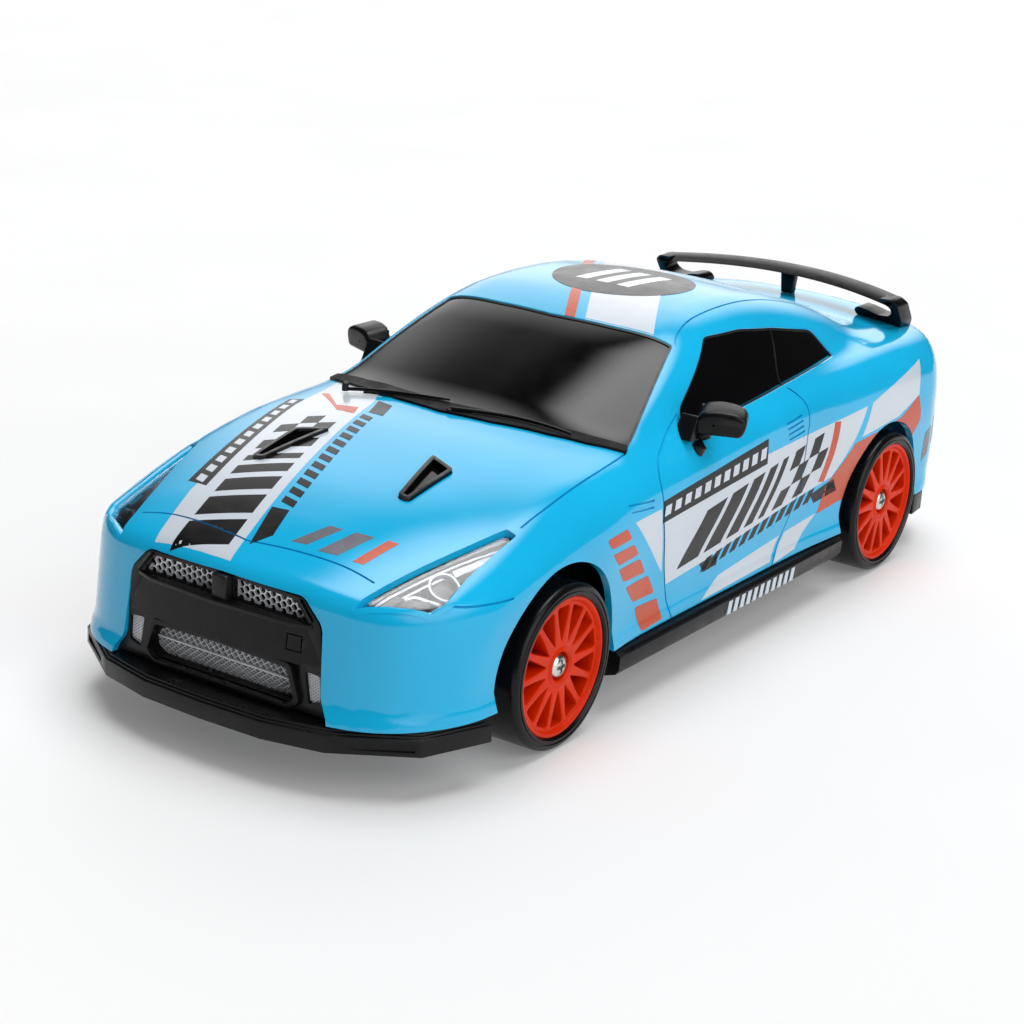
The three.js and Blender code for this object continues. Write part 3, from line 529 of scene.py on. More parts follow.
def plate(outline, holes, axis, low, high, bevel=0.0):
    """A flat plate with holes, from curves; its edges may be rounded."""
    data = bpy.data.curves.new("plate", "CURVE")
    data.dimensions = "2D"
    data.fill_mode = "BOTH"
    data.extrude = ((high - low) / 2 - bevel) * MM
    data.bevel_depth = bevel * MM
    data.bevel_resolution = 2
    data.offset = -bevel * MM
    for points in [outline, *holes]:
        spline = data.splines.new("POLY")
        spline.points.add(len(points) - 1)
        spline.points.foreach_set("co", [v for a, b in points for v in (a * MM, b * MM, 0.0, 1.0)])
        spline.use_cyclic_u = True
    obj = bpy.data.objects.new("plate", data)
    bpy.context.scene.collection.objects.link(obj)
    mesh = bpy.data.meshes.new_from_object(obj.evaluated_get(bpy.context.evaluated_depsgraph_get()))
    discard(obj)
    turn = Matrix(list(zip(*[swept(axis, 1, 0, 0), swept(axis, 0, 1, 0), swept(axis, 0, 0, 1)]))).to_4x4()
    mesh.transform(turn)
    mesh.transform(Matrix.Translation(Vector(swept(axis, 0, 0, (low + high) / 2)) * MM))
    obj = bpy.data.objects.new("plate", mesh)
    bpy.context.scene.collection.objects.link(obj)
    with editing(mesh) as bm:
        bmesh.ops.remove_doubles(bm, verts=bm.verts, dist=0.002 * MM)
    return faced_out(obj)


# ---- materials
def add_node(tree, kind, inputs, **settings):
    """A shader node; each input is a value or the output that it is linked to."""
    node = tree.nodes.new(f"ShaderNode{kind}")
    for name, value in settings.items():
        setattr(node, name, value)
    for socket, value in inputs.items():
        if isinstance(value, bpy.types.NodeSocket):
            tree.links.new(value, node.inputs[socket])
        else:
            node.inputs[socket].default_value = value
    return node


def finish(name, colour, rough, tone=0.05, tone_scale=50, grain=(0.012, 260), worn=None, **sockets):
    """A surface with a slight drift in colour and roughness, a grain (depth, scale) and maybe pale edges."""
    material = bpy.data.materials.new(name)
    material.use_nodes = True
    tree = material.node_tree
    shader = tree.nodes["Principled BSDF"]
    for socket, value in sockets.items():
        shader.inputs[socket.replace("_", " ")].default_value = value
    place = tree.nodes.new("ShaderNodeTexCoord").outputs["Object"]

    def noise(scale, detail=4.0):
        return add_node(tree, "TexNoise", {"Scale": scale, "Detail": detail, "Vector": place}).outputs["Fac"]

    def between(value, low, high, to_low, to_high):
        spans = {"From Min": low, "From Max": high, "To Min": to_low, "To Max": to_high}
        return add_node(tree, "MapRange", {**spans, "Value": value}).outputs["Result"]

    def mixed(value, a, b):
        return add_node(tree, "Mix", {"Factor": value, 6: a, 7: b}, data_type="RGBA").outputs[2]

    darker, lighter = ((*(min(1.0, c * share) for c in colour), 1.0) for share in (1 - tone, 1 + tone))
    base = mixed(between(noise(tone_scale), 0.35, 0.65, 0.0, 1.0), darker, lighter)
    if worn:
        point = tree.nodes.new("ShaderNodeNewGeometry").outputs["Pointiness"]
        base = mixed(between(point, 0.53, 0.62, 0.0, 0.8), base, (*worn, 1.0))
    tree.links.new(base, shader.inputs["Base Color"])
    drift = between(noise(tone_scale * 6), 0.3, 0.7, rough * 0.8, rough * 1.25)
    tree.links.new(drift, shader.inputs["Roughness"])
    if grain:
        depth, scale = grain
        bump = add_node(tree, "Bump", {"Strength": 1.0, "Distance": depth * MM, "Height": noise(scale, 3.0)})
        tree.links.new(bump.outputs["Normal"], shader.inputs["Normal"])
    return material


BLUE = finish("gloss_blue_abs", (0.008, 0.45, 0.78), 0.12, 0.04, Coat_Weight=0.35, Coat_Roughness=0.04,
              Specular_IOR_Level=0.3)
SMOKED = finish("smoked_glass", (0.0015, 0.0015, 0.002), 0.09, 0.3, grain=(0.004, 200),
                Specular_IOR_Level=0.32)
SEAL = finish("black_seal", (0.006, 0.006, 0.007), 0.4, 0.2, grain=None)
CLEAR = finish("clear_lens", (0.97, 0.985, 1.0), 0.04, 0.01, grain=(0.004, 300), Transmission_Weight=1.0,
               IOR=1.4, Specular_IOR_Level=0.25)
CHROME = finish("silvered_blades", (0.2, 0.21, 0.23), 0.3, 0.2, grain=(0.02, 900), Metallic=1.0)
BOWL = finish("grey_bowl", (0.11, 0.115, 0.13), 0.32, 0.4, 700, grain=(0.05, 900), Metallic=0.75)
DARK_CHROME = finish("dark_bowl", (0.016, 0.017, 0.02), 0.3, 0.3, grain=(0.02, 900), Metallic=0.5)
RED = finish("red_lamp", (0.42, 0.006, 0.006), 0.09, 0.2, 90, grain=(0.01, 500), Coat_Weight=0.8,
             Coat_Roughness=0.03)
NEAR_BLACK = (0.004, 0.004, 0.0045)
TRIM = finish("satin_black", NEAR_BLACK, 0.3, 0.25, grain=(0.02, 1500), worn=(0.02, 0.02, 0.022),
              Specular_IOR_Level=0.22)
GLOSS_TRIM = finish("gloss_black", NEAR_BLACK, 0.18, 0.2, grain=(0.006, 500), Specular_IOR_Level=0.3)
COWL = finish("grained_black", NEAR_BLACK, 0.55, 0.3, grain=(0.08, 2600), Specular_IOR_Level=0.15)
SILVER = finish("silver_mesh", (0.8, 0.81, 0.84), 0.38, 0.12, grain=(0.02, 1500), Metallic=0.35)
TYRE = finish("gloss_tyre", (0.0035, 0.0035, 0.004), 0.24, 0.25, 80, grain=(0.012, 700),
              Specular_IOR_Level=0.22)
ORANGE = finish("orange_rim", (0.7, 0.028, 0.0008), 0.34, 0.07, 120, grain=(0.012, 500),
                Specular_IOR_Level=0.12)
STEEL = finish("plated_steel", (0.62, 0.62, 0.6), 0.26, 0.2, 500, grain=(0.03, 2200), Metallic=1.0)
NYLON = finish("white_nylon", (0.78, 0.76, 0.7), 0.42, 0.05, 90, grain=(0.02, 1200), Subsurface_Weight=0.1)
CHASSIS = finish("chassis_black", (0.014, 0.014, 0.015), 0.5, 0.3, 70, grain=(0.05, 2400),
                 worn=(0.07, 0.07, 0.072))
WRAP = finish("battery_wrap", (0.62, 0.42, 0.02), 0.2, 0.15, 90, grain=(0.08, 260), Coat_Weight=0.5)
BOARD = finish("board_green", (0.012, 0.14, 0.045), 0.35, 0.5, 420, grain=(0.06, 1100))
PRINT_WHITE = finish("print_white", (0.6, 0.66, 0.73), 0.2, 0.03, Coat_Weight=0.4)
PRINT_BLACK = finish("print_black", (0.006, 0.006, 0.007), 0.24, 0.3, Specular_IOR_Level=0.25)
PRINT_ORANGE = finish("print_orange", (0.56, 0.07, 0.018), 0.25, 0.06)
PRINT_GREY = finish("print_grey", (0.15, 0.145, 0.175), 0.25, 0.1)


def piece(obj, name, material, replaced=(), body="car"):
    """Names a finished piece, paints it, hangs it on the empty of the body that it rides on and hides the CAD
    nodes that it replaces.
    """
    obj.name = name
    obj.data.materials.clear()
    obj.data.materials.append(material)
    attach(obj, body)
    if replaced:
        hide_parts(*replaced)
    return obj


def pair(obj, name, material, replaced=(), shade=shaded, angle=30):
    """The same piece on both sides; obj is the left one."""
    twin = mirrored(obj)
    for made, (side, _) in zip((obj, twin), SIDES):
        shade(made, angle)
        piece(made, f"{name}_{side}", material, [f"{node}_{side}" for node in replaced])


# ---- outlines of openings and panel lines
SCREEN_FOOT = [(10, -34.5), (20, -32.4), (26, -30), (31, -27.2)]
WINDSCREEN = both([(0, -35.2), *SCREEN_FOOT, (24.2, -2.8), (12, -4.4), (0, -5)])
REAR_SCREEN = both([(0, 40.5), (10, 40.8), (18.5, 42), (20.6, 69), (12, 71.4), (0, 72)])
SIDE_WINDOW = [(-12.3, 41.9), (-11.2, 46.1), (5.2, 55), (17, 54.5), (29, 52.8), (44.2, 49.8), (49.4, 44.2),
               (25, 43.7), (5, 42.9)]
HEADLIGHT = [(23.6, -91.2), (33.2, -84.5), (33.9, -81.8), (33.4, -76.1), (33.5, -69.5), (33.6, -63.4),
             (31.8, -63.6), (29.6, -71.1), (27.1, -79), (25.2, -85.3)]
MOUTH = both([(0, 30.6), (15.7, 30.2), (19.3, 26.3), (20.1, 14.7), (22, 12), (22, 5), (0, 5)])
DUCT = [(10.5, -54.5), (16.5, -56.7), (16.2, -68.4), (13.8, -68.4)]
VALANCE = both([(0, 16.5), (17, 16.5), (21, 12), (21, 5), (0, 5)])
LAMPS = {"outer": 30.4, "inner": 20.6}
LAMP_Z = 32.4
LAMP_R = 3.9

screen_outline = softened(WINDSCREEN, 0.8)
rear_outline = softened(REAR_SCREEN, 2)
side_outline = softened(SIDE_WINDOW, 1.4)
headlight_outline = softened(HEADLIGHT, 0.4)
duct_outline = softened(DUCT, 0.9)


# The axis and stretch along which an outline is pushed through each part of the skin.
SCREENS = ("z", 36, 70)
LAMP_TOPS = ("z", 27, 45)
IN_LAMP = ("z", 24.5, 45)
HOOD = ("z", 34, 50)
LEFT_SIDE = ("x", 20, 45)


def flipped(outline):
    return [(-a, b) for a, b in reversed(outline)]


def on_both(outline, axis, low, high):
    """A prism on each side: plan and front outlines are mirrored, side ones are pushed the other way."""
    if axis == "x":
        return merged([prism(outline, "x", low, high), prism(outline, "x", -high, -low)])
    return merged([prism(outline, axis, low, high), prism(flipped(outline), axis, low, high)])


def openings():
    """Everything that is cut out of the painted shell."""
    return [
        prism(screen_outline, *SCREENS),
        prism(rear_outline, *SCREENS),
        on_both(side_outline, *LEFT_SIDE),
        on_both(headlight_outline, *LAMP_TOPS),
        on_both(duct_outline, *HOOD),
        prism(softened(MOUTH, 1.2), "y", -110, -86),
        prism(softened(VALANCE, 1.2), "y", 88, 110),
        *[bar("x", r, -50, 50, y, z, 128) for y, z, r in ARCHES],
        *[on_both(circle(x, LAMP_Z, LAMP_R), "y", 80, 110) for x in LAMPS.values()],
        block(-60, 60, -110, 110, 0, SHELL_FOOT),
    ]


GROOVE = 0.34  # width and depth of every shut line
DOOR_FRONT = [(-11.6, 45.6), (-18.9, 42.3), (-23.4, 40), (-25.1, 37.4), (-25.1, 34.4), (-24.3, 28.7),
              (-21, 17.9), (-19, 11)]
DOOR_REAR = [(24.2, 43.6), (26.2, 41.9), (27.5, 40), (27.6, 37.3), (26.6, 34.2), (25.7, 29.3), (25.4, 23.1),
             (21.6, 16.6), (16.6, 11)]
BUMPER_SEAM = [(-82.0, 30.4), (-78.9, 29.9), (-74, 29.6), (-70.3, 29.5)]
FENDER_LINES = [[(-36, 35.8), (-27.9, 34.9)], [(-35.4, 34.6), (-28.2, 33.8)]]
SIDE_LINES = [DOOR_FRONT, DOOR_REAR, BUMPER_SEAM, *FENDER_LINES]
HOOD_FRONT = [(0, -88), (5.5, -87.3), (12, -86.6), (18.2, -86.1), (23.5, -86.2)]
HOOD_SIDE = [(33.1, -61.6), (32.9, -52), (32.4, -42), (31.7, -33), (31.4, -28.5)]
ROOF_RAIL = [(24.6, -3.2), (23.1, 0), (21.9, 6), (21.4, 15.8), (21.2, 30), (21.3, 45), (21.8, 58)]
BOOT_SIDE = [(21.5, 70.5), (25, 78), (27.2, 86), (27.4, 96)]
PLAN_LINES = [HOOD_FRONT, HOOD_SIDE, ROOF_RAIL, BOOT_SIDE]


def grooves():
    """The shut lines, as tools that reach a little way under the skin."""
    lines = [on_both(ribbon(curve(line), GROOVE), "x", 20, 46) for line in SIDE_LINES]
    lines += [on_both(ribbon(curve(line), GROOVE), "z", 30, 70) for line in PLAN_LINES]
    ribs = [(19 + 0.2 * i, 37.9 - i) for i in range(4)]
    lines += [on_both(softened([(y, z), (y + 6, z + 0.5), (y + 6, z + 0.9), (y, z + 0.4)], 0.3), "x", 30, 46)
              for y, z in ribs]
    return [cut(line, skin(GROOVE)) for line in lines]


OPENINGS = openings()
GROOVES = grooves()

# ---- painted shell
HEADLIGHT_RIM = [(-0.3, -2.4), (-0.3, -0.9), (-0.05, -0.3), (0.3, 0.0), (0.7, 0.05), (1.05, -0.05),
                 (1.05, -0.6), (0.6, -2.4)]
SOFT_EDGE = [(-0.25, -1.25), (-0.25, -0.3), (-0.08, -0.06), (0.2, 0.03), (0.5, 0.03), (0.8, -0.08),
             (0.9, -0.7), (0.4, -1.25)]
BOSSES = ((-72, 37.6), (84, 43.8))  # y and top of each screw boss


def painted_shell():
    shell = cut(skin(0), skin(WALL, COARSE))
    cut(shell, OPENINGS, keep=True)
    cut(shell, GROOVES, keep=True)
    rims = [
        rim(headlight_outline, "z", 50, 25, HEADLIGHT_RIM),
        rim(flipped(headlight_outline), "z", 50, 25, HEADLIGHT_RIM),
        rim(screen_outline, "z", 70, 40, SOFT_EDGE),
        rim(rear_outline, "z", 70, 40, SOFT_EDGE),
        rim(side_outline, "x", 50, 15, SOFT_EDGE),
        rim(side_outline, "x", -50, -15, SOFT_EDGE),
    ]
    join(shell, rims)
    for y, top in BOSSES:
        post = cut(bar("z", 2.6, 9, top, 0, y), [bar("z", 1.25, 8, 21, 0, y)])
        join(shell, [post])
    return skin_shaded(shell)


piece(painted_shell(), "painted_shell", BLUE, ["body_shell"])


# ---- glazing
def glazing():
    """Smoked screens and side windows, sunk a little below the paint, with a thin black seal round each."""
    glass = layer(RECESS, GLASS_DEPTH)
    seal = [(-0.55, -0.5), (-0.5, -0.2), (-0.1, -0.16), (0.05, -0.5), (0.05, -0.9), (-0.55, -0.9)]
    screens = (("windscreen", screen_outline, "windshield"), ("rear_screen", rear_outline, "rear_window"))
    for name, outline, node in screens:
        pane = common(copied(glass), prism(grown(outline, -0.25), *SCREENS))
        piece(skin_shaded(pane), name, SMOKED, [node])
        piece(shaded(rim(outline, "z", 70, 40, seal), 60), f"{name}_seal", SEAL)
    pane = common(copied(glass), prism(grown(side_outline, -0.25), *LEFT_SIDE))
    pair(pane, "side_glass", SMOKED, ["side_window"], skin_shaded)
    pair(rim(side_outline, "x", 50, 15, seal), "side_seal", SEAL, angle=60)
    discard(glass)
    line = ribbon([(28.6, 53.2), (23.9, 43.4)], 0.5)
    divider = common(layer(RECESS - 0.06, RECESS + 0.2), prism(line, *LEFT_SIDE))
    pair(divider, "window_divider", SEAL, shade=skin_shaded)


# ---- headlights and tail lamps
PROJECTOR = (30.9, -78.3)
LENS_DEPTH = 0.85
STEER_ROOM = 2
LAMP_EDGE = [(24.6, -88.6), (26.0, -84.4), (27.9, -78.4), (30.4, -71.0), (32.0, -66.4)]
# Each bright strip: its line, its width and how far it lies under the skin.
LAMP_BLADES = (
    ([(x + 0.3, y) for x, y in LAMP_EDGE], 0.4, 1.6),
    ([(x + 1.0, y + 0.2) for x, y in LAMP_EDGE[1:]], 0.35, 2.1),
    ([(30.3, -75.2), (31.6, -71.2), (32.5, -67.2)], 1.1, 1.8),
    ([(27.3, -84.6), (28.6, -82.6), (30.4, -81.8), (32.9, -80.6)], 0.5, 1.9),
)
LAMP_BRACKETS = (
    [(25.5, -88.5), (26.8, -87.5), (28.0, -84.2), (26.8, -84.8)],
    [(28.0, -85.8), (31.6, -83.2), (31.2, -82.0), (28.4, -84.0)],
)


def in_lamp(outline, top, bottom=3.9):
    """What lies inside an outline between two depths under the skin."""
    return common(layer(top, bottom, COARSE), prism(outline, *IN_LAMP))


def headlights():
    """A clear cover over a walled bowl, which holds bright strips, a projector and dark brackets."""
    lens = common(layer(LENS_DEPTH, LENS_DEPTH + 0.45), prism(grown(headlight_outline, -0.2), *LAMP_TOPS))
    pair(faced_out(lens), "headlight_cover", CLEAR, ["headlight_lens"], skin_shaded)

    seat = grown(headlight_outline, 0.2)
    bowl = in_lamp(seat, 3.6, 4.3)
    wall = cut(prism(seat, *IN_LAMP), prism(grown(HEADLIGHT, -0.5), "z", 17, 46))
    join(bowl, [common(wall, layer(1.35, 4.3, COARSE))])
    cut(bowl, bar("x", TYRE_R + STEER_ROOM, 15, 45, FRONT_Y, AXLE_Z, 64))
    pair(bowl, "headlight_bowl", BOWL, ["headlight_reflector"], angle=35)

    blades = merged([in_lamp(ribbon(curve(line), width), top, 3.8) for line, width, top in LAMP_BLADES])
    pair(blades, "headlight_blades", CHROME, angle=35)
    ring = cut(prism(circle(*PROJECTOR, 2.5, 64), *IN_LAMP), prism(circle(*PROJECTOR, 2.15, 64), "z", 17, 46))
    pair(common(ring, layer(1.5, 3.9, COARSE)), "projector_ring", CHROME, angle=35)
    eye = in_lamp(circle(*PROJECTOR, 2.1), 2.4)
    pair(rounded(eye, 0.4), "projector_eye", DARK_CHROME, angle=35)
    bracket = merged([prism(softened(o, 0.3), *IN_LAMP) for o in LAMP_BRACKETS])
    bracket = common(bracket, layer(1.45, 3.9, COARSE))
    pair(bracket, "headlight_bracket", DARK_CHROME, angle=35)


def draped(obj, x, z):
    """Moves a piece made at the origin to (x, z), where its depth is counted from the tail's surface."""
    points = np.array([v.co for v in obj.data.vertices]) / MM + (x, 0, z)
    points[:, 1] += on_skin(points[:, [0, 2]], "y", 110, 60)[:, 1]
    obj.data.vertices.foreach_set("co", (points * MM).ravel())


def tail_lamps():
    """Round lamps: a domed red lens with a bright centre and a black bezel."""
    for name, x in LAMPS.items():
        lens = lathe([(0.001, 0.4), (1.6, 0.32), (2.9, 0.0), (3.35, -0.6), (3.35, -2.0), (0.001, -2.0)], 64)
        rings = lathe([(1.5, 0.2), (1.5, 0.5), (1.8, 0.5), (1.8, 0.2)], 64)
        bezel = lathe([(3.3, -2.2), (3.3, 0.1), (3.5, 0.3), (3.8, 0.15), (3.85, -2.2)], 64)
        for made, label, material, slot, nodes in (
            (lens, "tail_lens", RED, "tail_red", [f"tail_lamp_{name}"]),
            (rings, "tail_ring", CHROME, "lamp_bowl", []),
            (bezel, "tail_bezel", GLOSS_TRIM, "trim_black", []),
        ):
            made.data.transform(Matrix.Rotation(math.radians(90), 4, "Z"))
            draped(made, x, LAMP_Z)
            pair(made, f"{label}_{name}", material, nodes, angle=40)


# ---- front end
UPPER_HOLE = [(2.0, 29.7), (14.4, 29.3), (16.6, 26.3), (2.0, 26.3)]
LOWER_HOLE = both([(0, 18.7), (13.4, 18.3), (15.0, 13.6), (13.6, 12.3), (0, 12.3)])
POCKET = [(16.4, 18.4), (19.3, 18.2), (19.5, 14.0), (17.2, 13.2)]
# The lower mesh bends forward along a line at this height, by this much there and less for each mm away.
BEND_Z, BEND, BEND_FALL = 15.7, 1.1, 0.36


def inside_outline(points, outline):
    """Which points lie in a convex outline."""
    p, o = np.array(points), np.array(outline)
    a, b = o, np.roll(o, -1, axis=0)
    along = b - a
    side = along[:, 0] * (p[:, 1:2] - a[:, 1]) - along[:, 1] * (p[:, :1] - a[:, 0])
    return np.all(side > 0, axis=1) | np.all(side < 0, axis=1)


def lattice(width, height, pitch, rise, hole):
    """Holes in alternate rows that fill a width and height round the origin."""
    made = []
    for row in range(-int(height / rise) - 1, int(height / rise) + 2):
        for column in range(-int(width / pitch) - 1, int(width / pitch) + 2):
            x, z = (column + 0.5 * (row % 2)) * pitch, row * rise
            made.append([(x + a, z + b) for a, b in hole])
    return made


def mesh_panel(frame_outline, centre, pitch, rise, hole, low, high):
    """A panel of the mesh with every hole that fits inside its frame."""
    x0, z0 = centre
    inner = grown(frame_outline, -0.12)
    holes = [[(x + x0, z + z0) for x, z in h] for h in lattice(36, 9, pitch, rise, hole)]
    holes = [h for h in holes if inside_outline(h, inner).all()]
    return plate(frame_outline, holes, "y", low, high)


def grille_frame():
    """The black insert with its lip, shelf and post."""
    mouth = [(x, max(z, SHELL_FOOT)) for x, z in MOUTH]
    face = prism(softened(grown(mouth, -0.25), 1.0), "y", -93.2, -90.4)
    holes = [softened(o, 0.6) for o in (UPPER_HOLE, flipped(UPPER_HOLE), LOWER_HOLE)]
    cut(face, [prism(o, "y", -96, -88) for o in holes])
    cut(face, on_both(softened(POCKET, 0.5), "y", -94, -91.2))
    surround = rounded(face, 0.22)
    lip = prism(softened(grown(LOWER_HOLE, 0.9), 0.8), "y", -94.1, -92.6)
    cut(lip, prism(holes[2], "y", -96, -88))
    shelf = prism(both([(0, -95.4), (14, -94.6), (17.6, -93.4), (17.6, -92.4), (0, -92.4)]), "z", 25.4, 26.2)
    post = block(-1.5, 1.5, -94.6, -90.6, 25.4, 30.1)
    front = merged([surround, rounded(lip, 0.2), rounded(shelf, 0.2), rounded(post, 0.35)])
    piece(shaded(front, 40), "grille_frame", TRIM, ["grille_insert"])


def bumper_bar():
    """The black bar across the mouth, with a scored cover at one side."""
    bar_outline = softened(both([(0, 25.8), (18.6, 25.7), (19.4, 24.4), (19.7, 19.4), (0, 19.5)]), 0.5)
    bumper = common(prism(bar_outline, "y", -97, -91), skin(RECESS))
    cover = ribbon([(13.2, 22.6), (15.8, 22.6)], 2.5)
    cut(bumper, cut(prism(grown(cover, 0.12), "y", -98, -90), prism(grown(cover, -0.12), "y", -99, -89)))
    piece(skin_shaded(rounded(bumper, 0.35, angle=50), 40), "bumper_bar", TRIM)


def grille_meshes():
    """Silver meshes set back in the openings, with a plate behind them and a strut at each side."""
    hexagon = [(-0.72, 0), (-0.33, 0.58), (0.33, 0.58), (0.72, 0), (0.33, -0.58), (-0.33, -0.58)]
    hexagon = grown(hexagon, -0.09)
    upper = mesh_panel(grown(UPPER_HOLE, 0.5), (8, 28.2), 2.1, 0.58, hexagon, -92.3, -91.8)
    upper = merged([upper, mirrored(upper)])
    diamond = [(-0.53, 0), (0, 0.39), (0.53, 0), (0, -0.39)]
    lower = mesh_panel(grown(LOWER_HOLE, 0.5), (0, 15.5), 1.3, 0.48, diamond, -90.9, -90.3)
    for vertex in lower.data.vertices:
        vertex.co.y -= (BEND - BEND_FALL * abs(vertex.co.z / MM - BEND_Z)) * MM
    lower = merged([lower, tube([(-14.2, -92.2, BEND_Z), (14.2, -92.2, BEND_Z)], 0.2)])
    for mesh, level in ((upper, "upper"), (lower, "lower")):
        name = f"grille_mesh_{level}"
        piece(shaded(mesh), f"{name}_silver", SILVER, [name])

    small = [(a * 0.44, b * 0.44) for a, b in diamond]
    pocket = mesh_panel(grown(POCKET, 0.2), (18, 16), 0.66, 0.25, small, -92.6, -92.2)
    pair(pocket, "pocket_mesh", SILVER)
    backing = block(-17, 17, -89, -88.6, SHELL_FOOT + 0.2, 29.9)
    piece(backing, "grille_backing", CHASSIS)
    strut = merged([
        tube([(14.9, -93.6, 29.6), (17.4, -93.5, 26.5)], 0.28),
        tube([(17.4, -93.5, 26.5), (16.2, -93.2, 27.4), (15.6, -92.8, 29.2)], 0.22),
    ])
    pair(strut, "grille_strut", GLOSS_TRIM)


SPLITTER_EDGE = [(0, -98.5), (12, -98.1), (22.4, -95.6), (34.6, -87.2), (39.1, -75.2)]
SPLITTER_BACK = [(36, -75.2), (30.5, -82.5), (18, -87.5), (0, -88.5)]
# How far each step of the blade grows, and its lower and upper height.
SPLITTER_STEPS = ((0.0, 7.4, 10.3), (-0.4, 10.3, 10.7), (-0.8, 10.7, 11.1))


def splitter():
    """A deep black blade with two stepped lines along its upper edge and a slot near each end."""
    plan = both(SPLITTER_EDGE + SPLITTER_BACK)
    blade, *steps = (prism(grown(plan, by), "z", low, high) for by, low, high in SPLITTER_STEPS)
    join(blade, steps)
    cut(blade, on_both([(25.5, -93.2), (33.6, -87.4), (34, -90), (26, -96)], "z", 8.2, 9.3))
    piece(shaded(rounded(blade, 0.28), 40), "splitter_blade", TRIM, ["front_splitter"])


# ---- sides and tail
def skirts():
    """The black sills with a scored line and a row of leaning white marks."""
    section = [(36.2, 6.3), (38.6, 7.1), (39.2, 8.0), (39.3, 10.4), (38.5, 11.1), (36.2, 11.1)]
    skirt = prism(section, "y", -38.5, 42.4)
    cut(skirt, prism(ribbon([(-34, 10.55), (38, 10.55)], 0.25), "x", 39.1, 42))
    pair(rounded(skirt, 0.25), "skirt", TRIM, ["side_skirt"], angle=40)
    marks = [
        prism([(y, 7.7), (y + 1.3, 7.7), (y + 1.9, 10.1), (y + 0.6, 10.1)], "x", 39.0, 39.38)
        for y in np.arange(-2.4, 21.5, 2.35)
    ]
    pair(merged(marks), "skirt_dashes", PRINT_WHITE)


def rear_end():
    """The black tray with its raised middle and fins, a blank plate and four exhaust tips."""
    edge = [(0, 98.5), (14, 98), (26, 95.4), (34, 89.5), (37.6, 82), (38.1, 77)]
    inner = [(35.6, 77), (34.6, 81), (30, 87), (20, 90.5), (0, 91.5)]
    tray = rounded(prism(both(edge + inner), "z", 6.8, 11.1), 0.3)
    middle = prism(both([(0, 16), (16.7, 16), (20.4, 11.9), (20.4, 8), (0, 8)]), "y", 92, 96.6)
    fins = [block(x - 0.4, x + 0.4, 95, 98.2, 7.2, 11.6, 0.2) for x in (-9, -5.4, -1.8, 1.8, 5.4, 9)]
    recess = block(-8.4, 8.4, 96.1, 99, 11.8, 15.2)
    middle = rounded(cut(middle, recess), 0.3)
    piece(shaded(merged([tray, middle, *fins]), 40), "rear_diffuser", TRIM, ["rear_valance"])
    plate_face = block(-7.9, 7.9, 96, 96.5, 12.2, 14.8, 0.15)
    piece(shaded(plate_face), "blank_plate", PRINT_WHITE)
    pipe = lathe([(1.25, -8), (1.7, -8), (1.75, -0.4), (1.6, 0), (1.4, -0.1), (1.3, -0.5), (1.25, -4)], 48)
    pipe.data.transform(Matrix.Rotation(math.radians(90), 4, "Z"))
    pipes = [moved(copied(pipe), x, 98.9, 9.6) for x in (13.3, 17.3)]
    discard(pipe)
    pair(merged(pipes), "exhaust_tips", CHROME, angle=40)


MIRROR_AT = (38.2, -8.6, 45.2)
MIRROR_SWEEP = 25
MIRROR_BROW = 0.62  # how far the top of the housing's front comes down


def door_mirrors():
    """Boxy housings swept back at their outer ends, on short curved stalks."""
    front = [(-4.3, -2.5), (-4.5, 0.2), (-3.1, 2.3), (-0.5, 2.75), (2.6, 2.4), (4.3, 1.3), (4.5, -0.4),
             (3.7, -2.6)]
    head = prism(softened(front, 0.9), "y", -2.6, 2.5)
    for vertex in head.data.vertices:
        if vertex.co.y < 0 and vertex.co.z > 0:
            vertex.co.z *= MIRROR_BROW
    head = rounded(head, 0.75, 4, 30)
    cut(head, block(-3.8, 3.9, 2.1, 4, -1.9, 1.9))
    cut(head, bar("y", 0.22, -4, -1.9, -1.2, -0.6))
    glass = block(-3.7, 3.8, 1.95, 2.25, -1.8, 1.8, 0.1)
    swept_back = Matrix.Rotation(math.radians(MIRROR_SWEEP), 4, "Z")
    for obj in (head, glass):
        obj.data.transform(swept_back)
        moved(obj, *MIRROR_AT)
    path = [(35.0, -11.3, 38.4), (35.4, -11.0, 40.4), (35.9, -10.6, 42.2), (36.6, -10.2, 44.0)]
    stalk = tube(path, [1.15, 1.5, 1.35, 1.2], 20)
    sail = softened([(-14.6, 41.7), (-9.6, 41.6), (-8.6, 44.0), (-12.2, 46.0)], 0.5)
    sail = rounded(prism(sail, "x", 32.2, 35.6), 0.3)
    body = cut(join(head, [stalk, sail]), skin(-0.12))
    pair(body, "mirror_housing", TRIM, ["mirror"], angle=45)
    pair(glass, "mirror_glass", CHROME)


def ducts():
    """A gloss frame round each hood duct, with a well and a slot below it."""
    inner = grown(duct_outline, -0.85)
    seat = grown(duct_outline, -0.1)
    frame_ring = common(layer(-0.55, 1.2), prism(seat, *HOOD))
    cut(frame_ring, prism(inner, "z", 33, 51))
    well = common(layer(0.8, 1.3), prism(seat, *HOOD))
    slot = prism(softened([(12.9, -57.8), (14.9, -58.6), (14.7, -64.6), (14.1, -64.6)], 0.3), *HOOD)
    slot = common(slot, layer(0.35, 0.9))
    made = merged([rounded(frame_ring, 0.2), well, slot])
    pair(made, "duct_frame", GLOSS_TRIM, ["hood_duct"], angle=40)


COWL_EDGE = [(0, -38.4), (10, -37.5), (20, -35.0), (26, -32.4), (31.6, -28.7), (31, -27.2), (26, -30),
             (20, -32.4), (10, -34.5), (0, -35.2)]


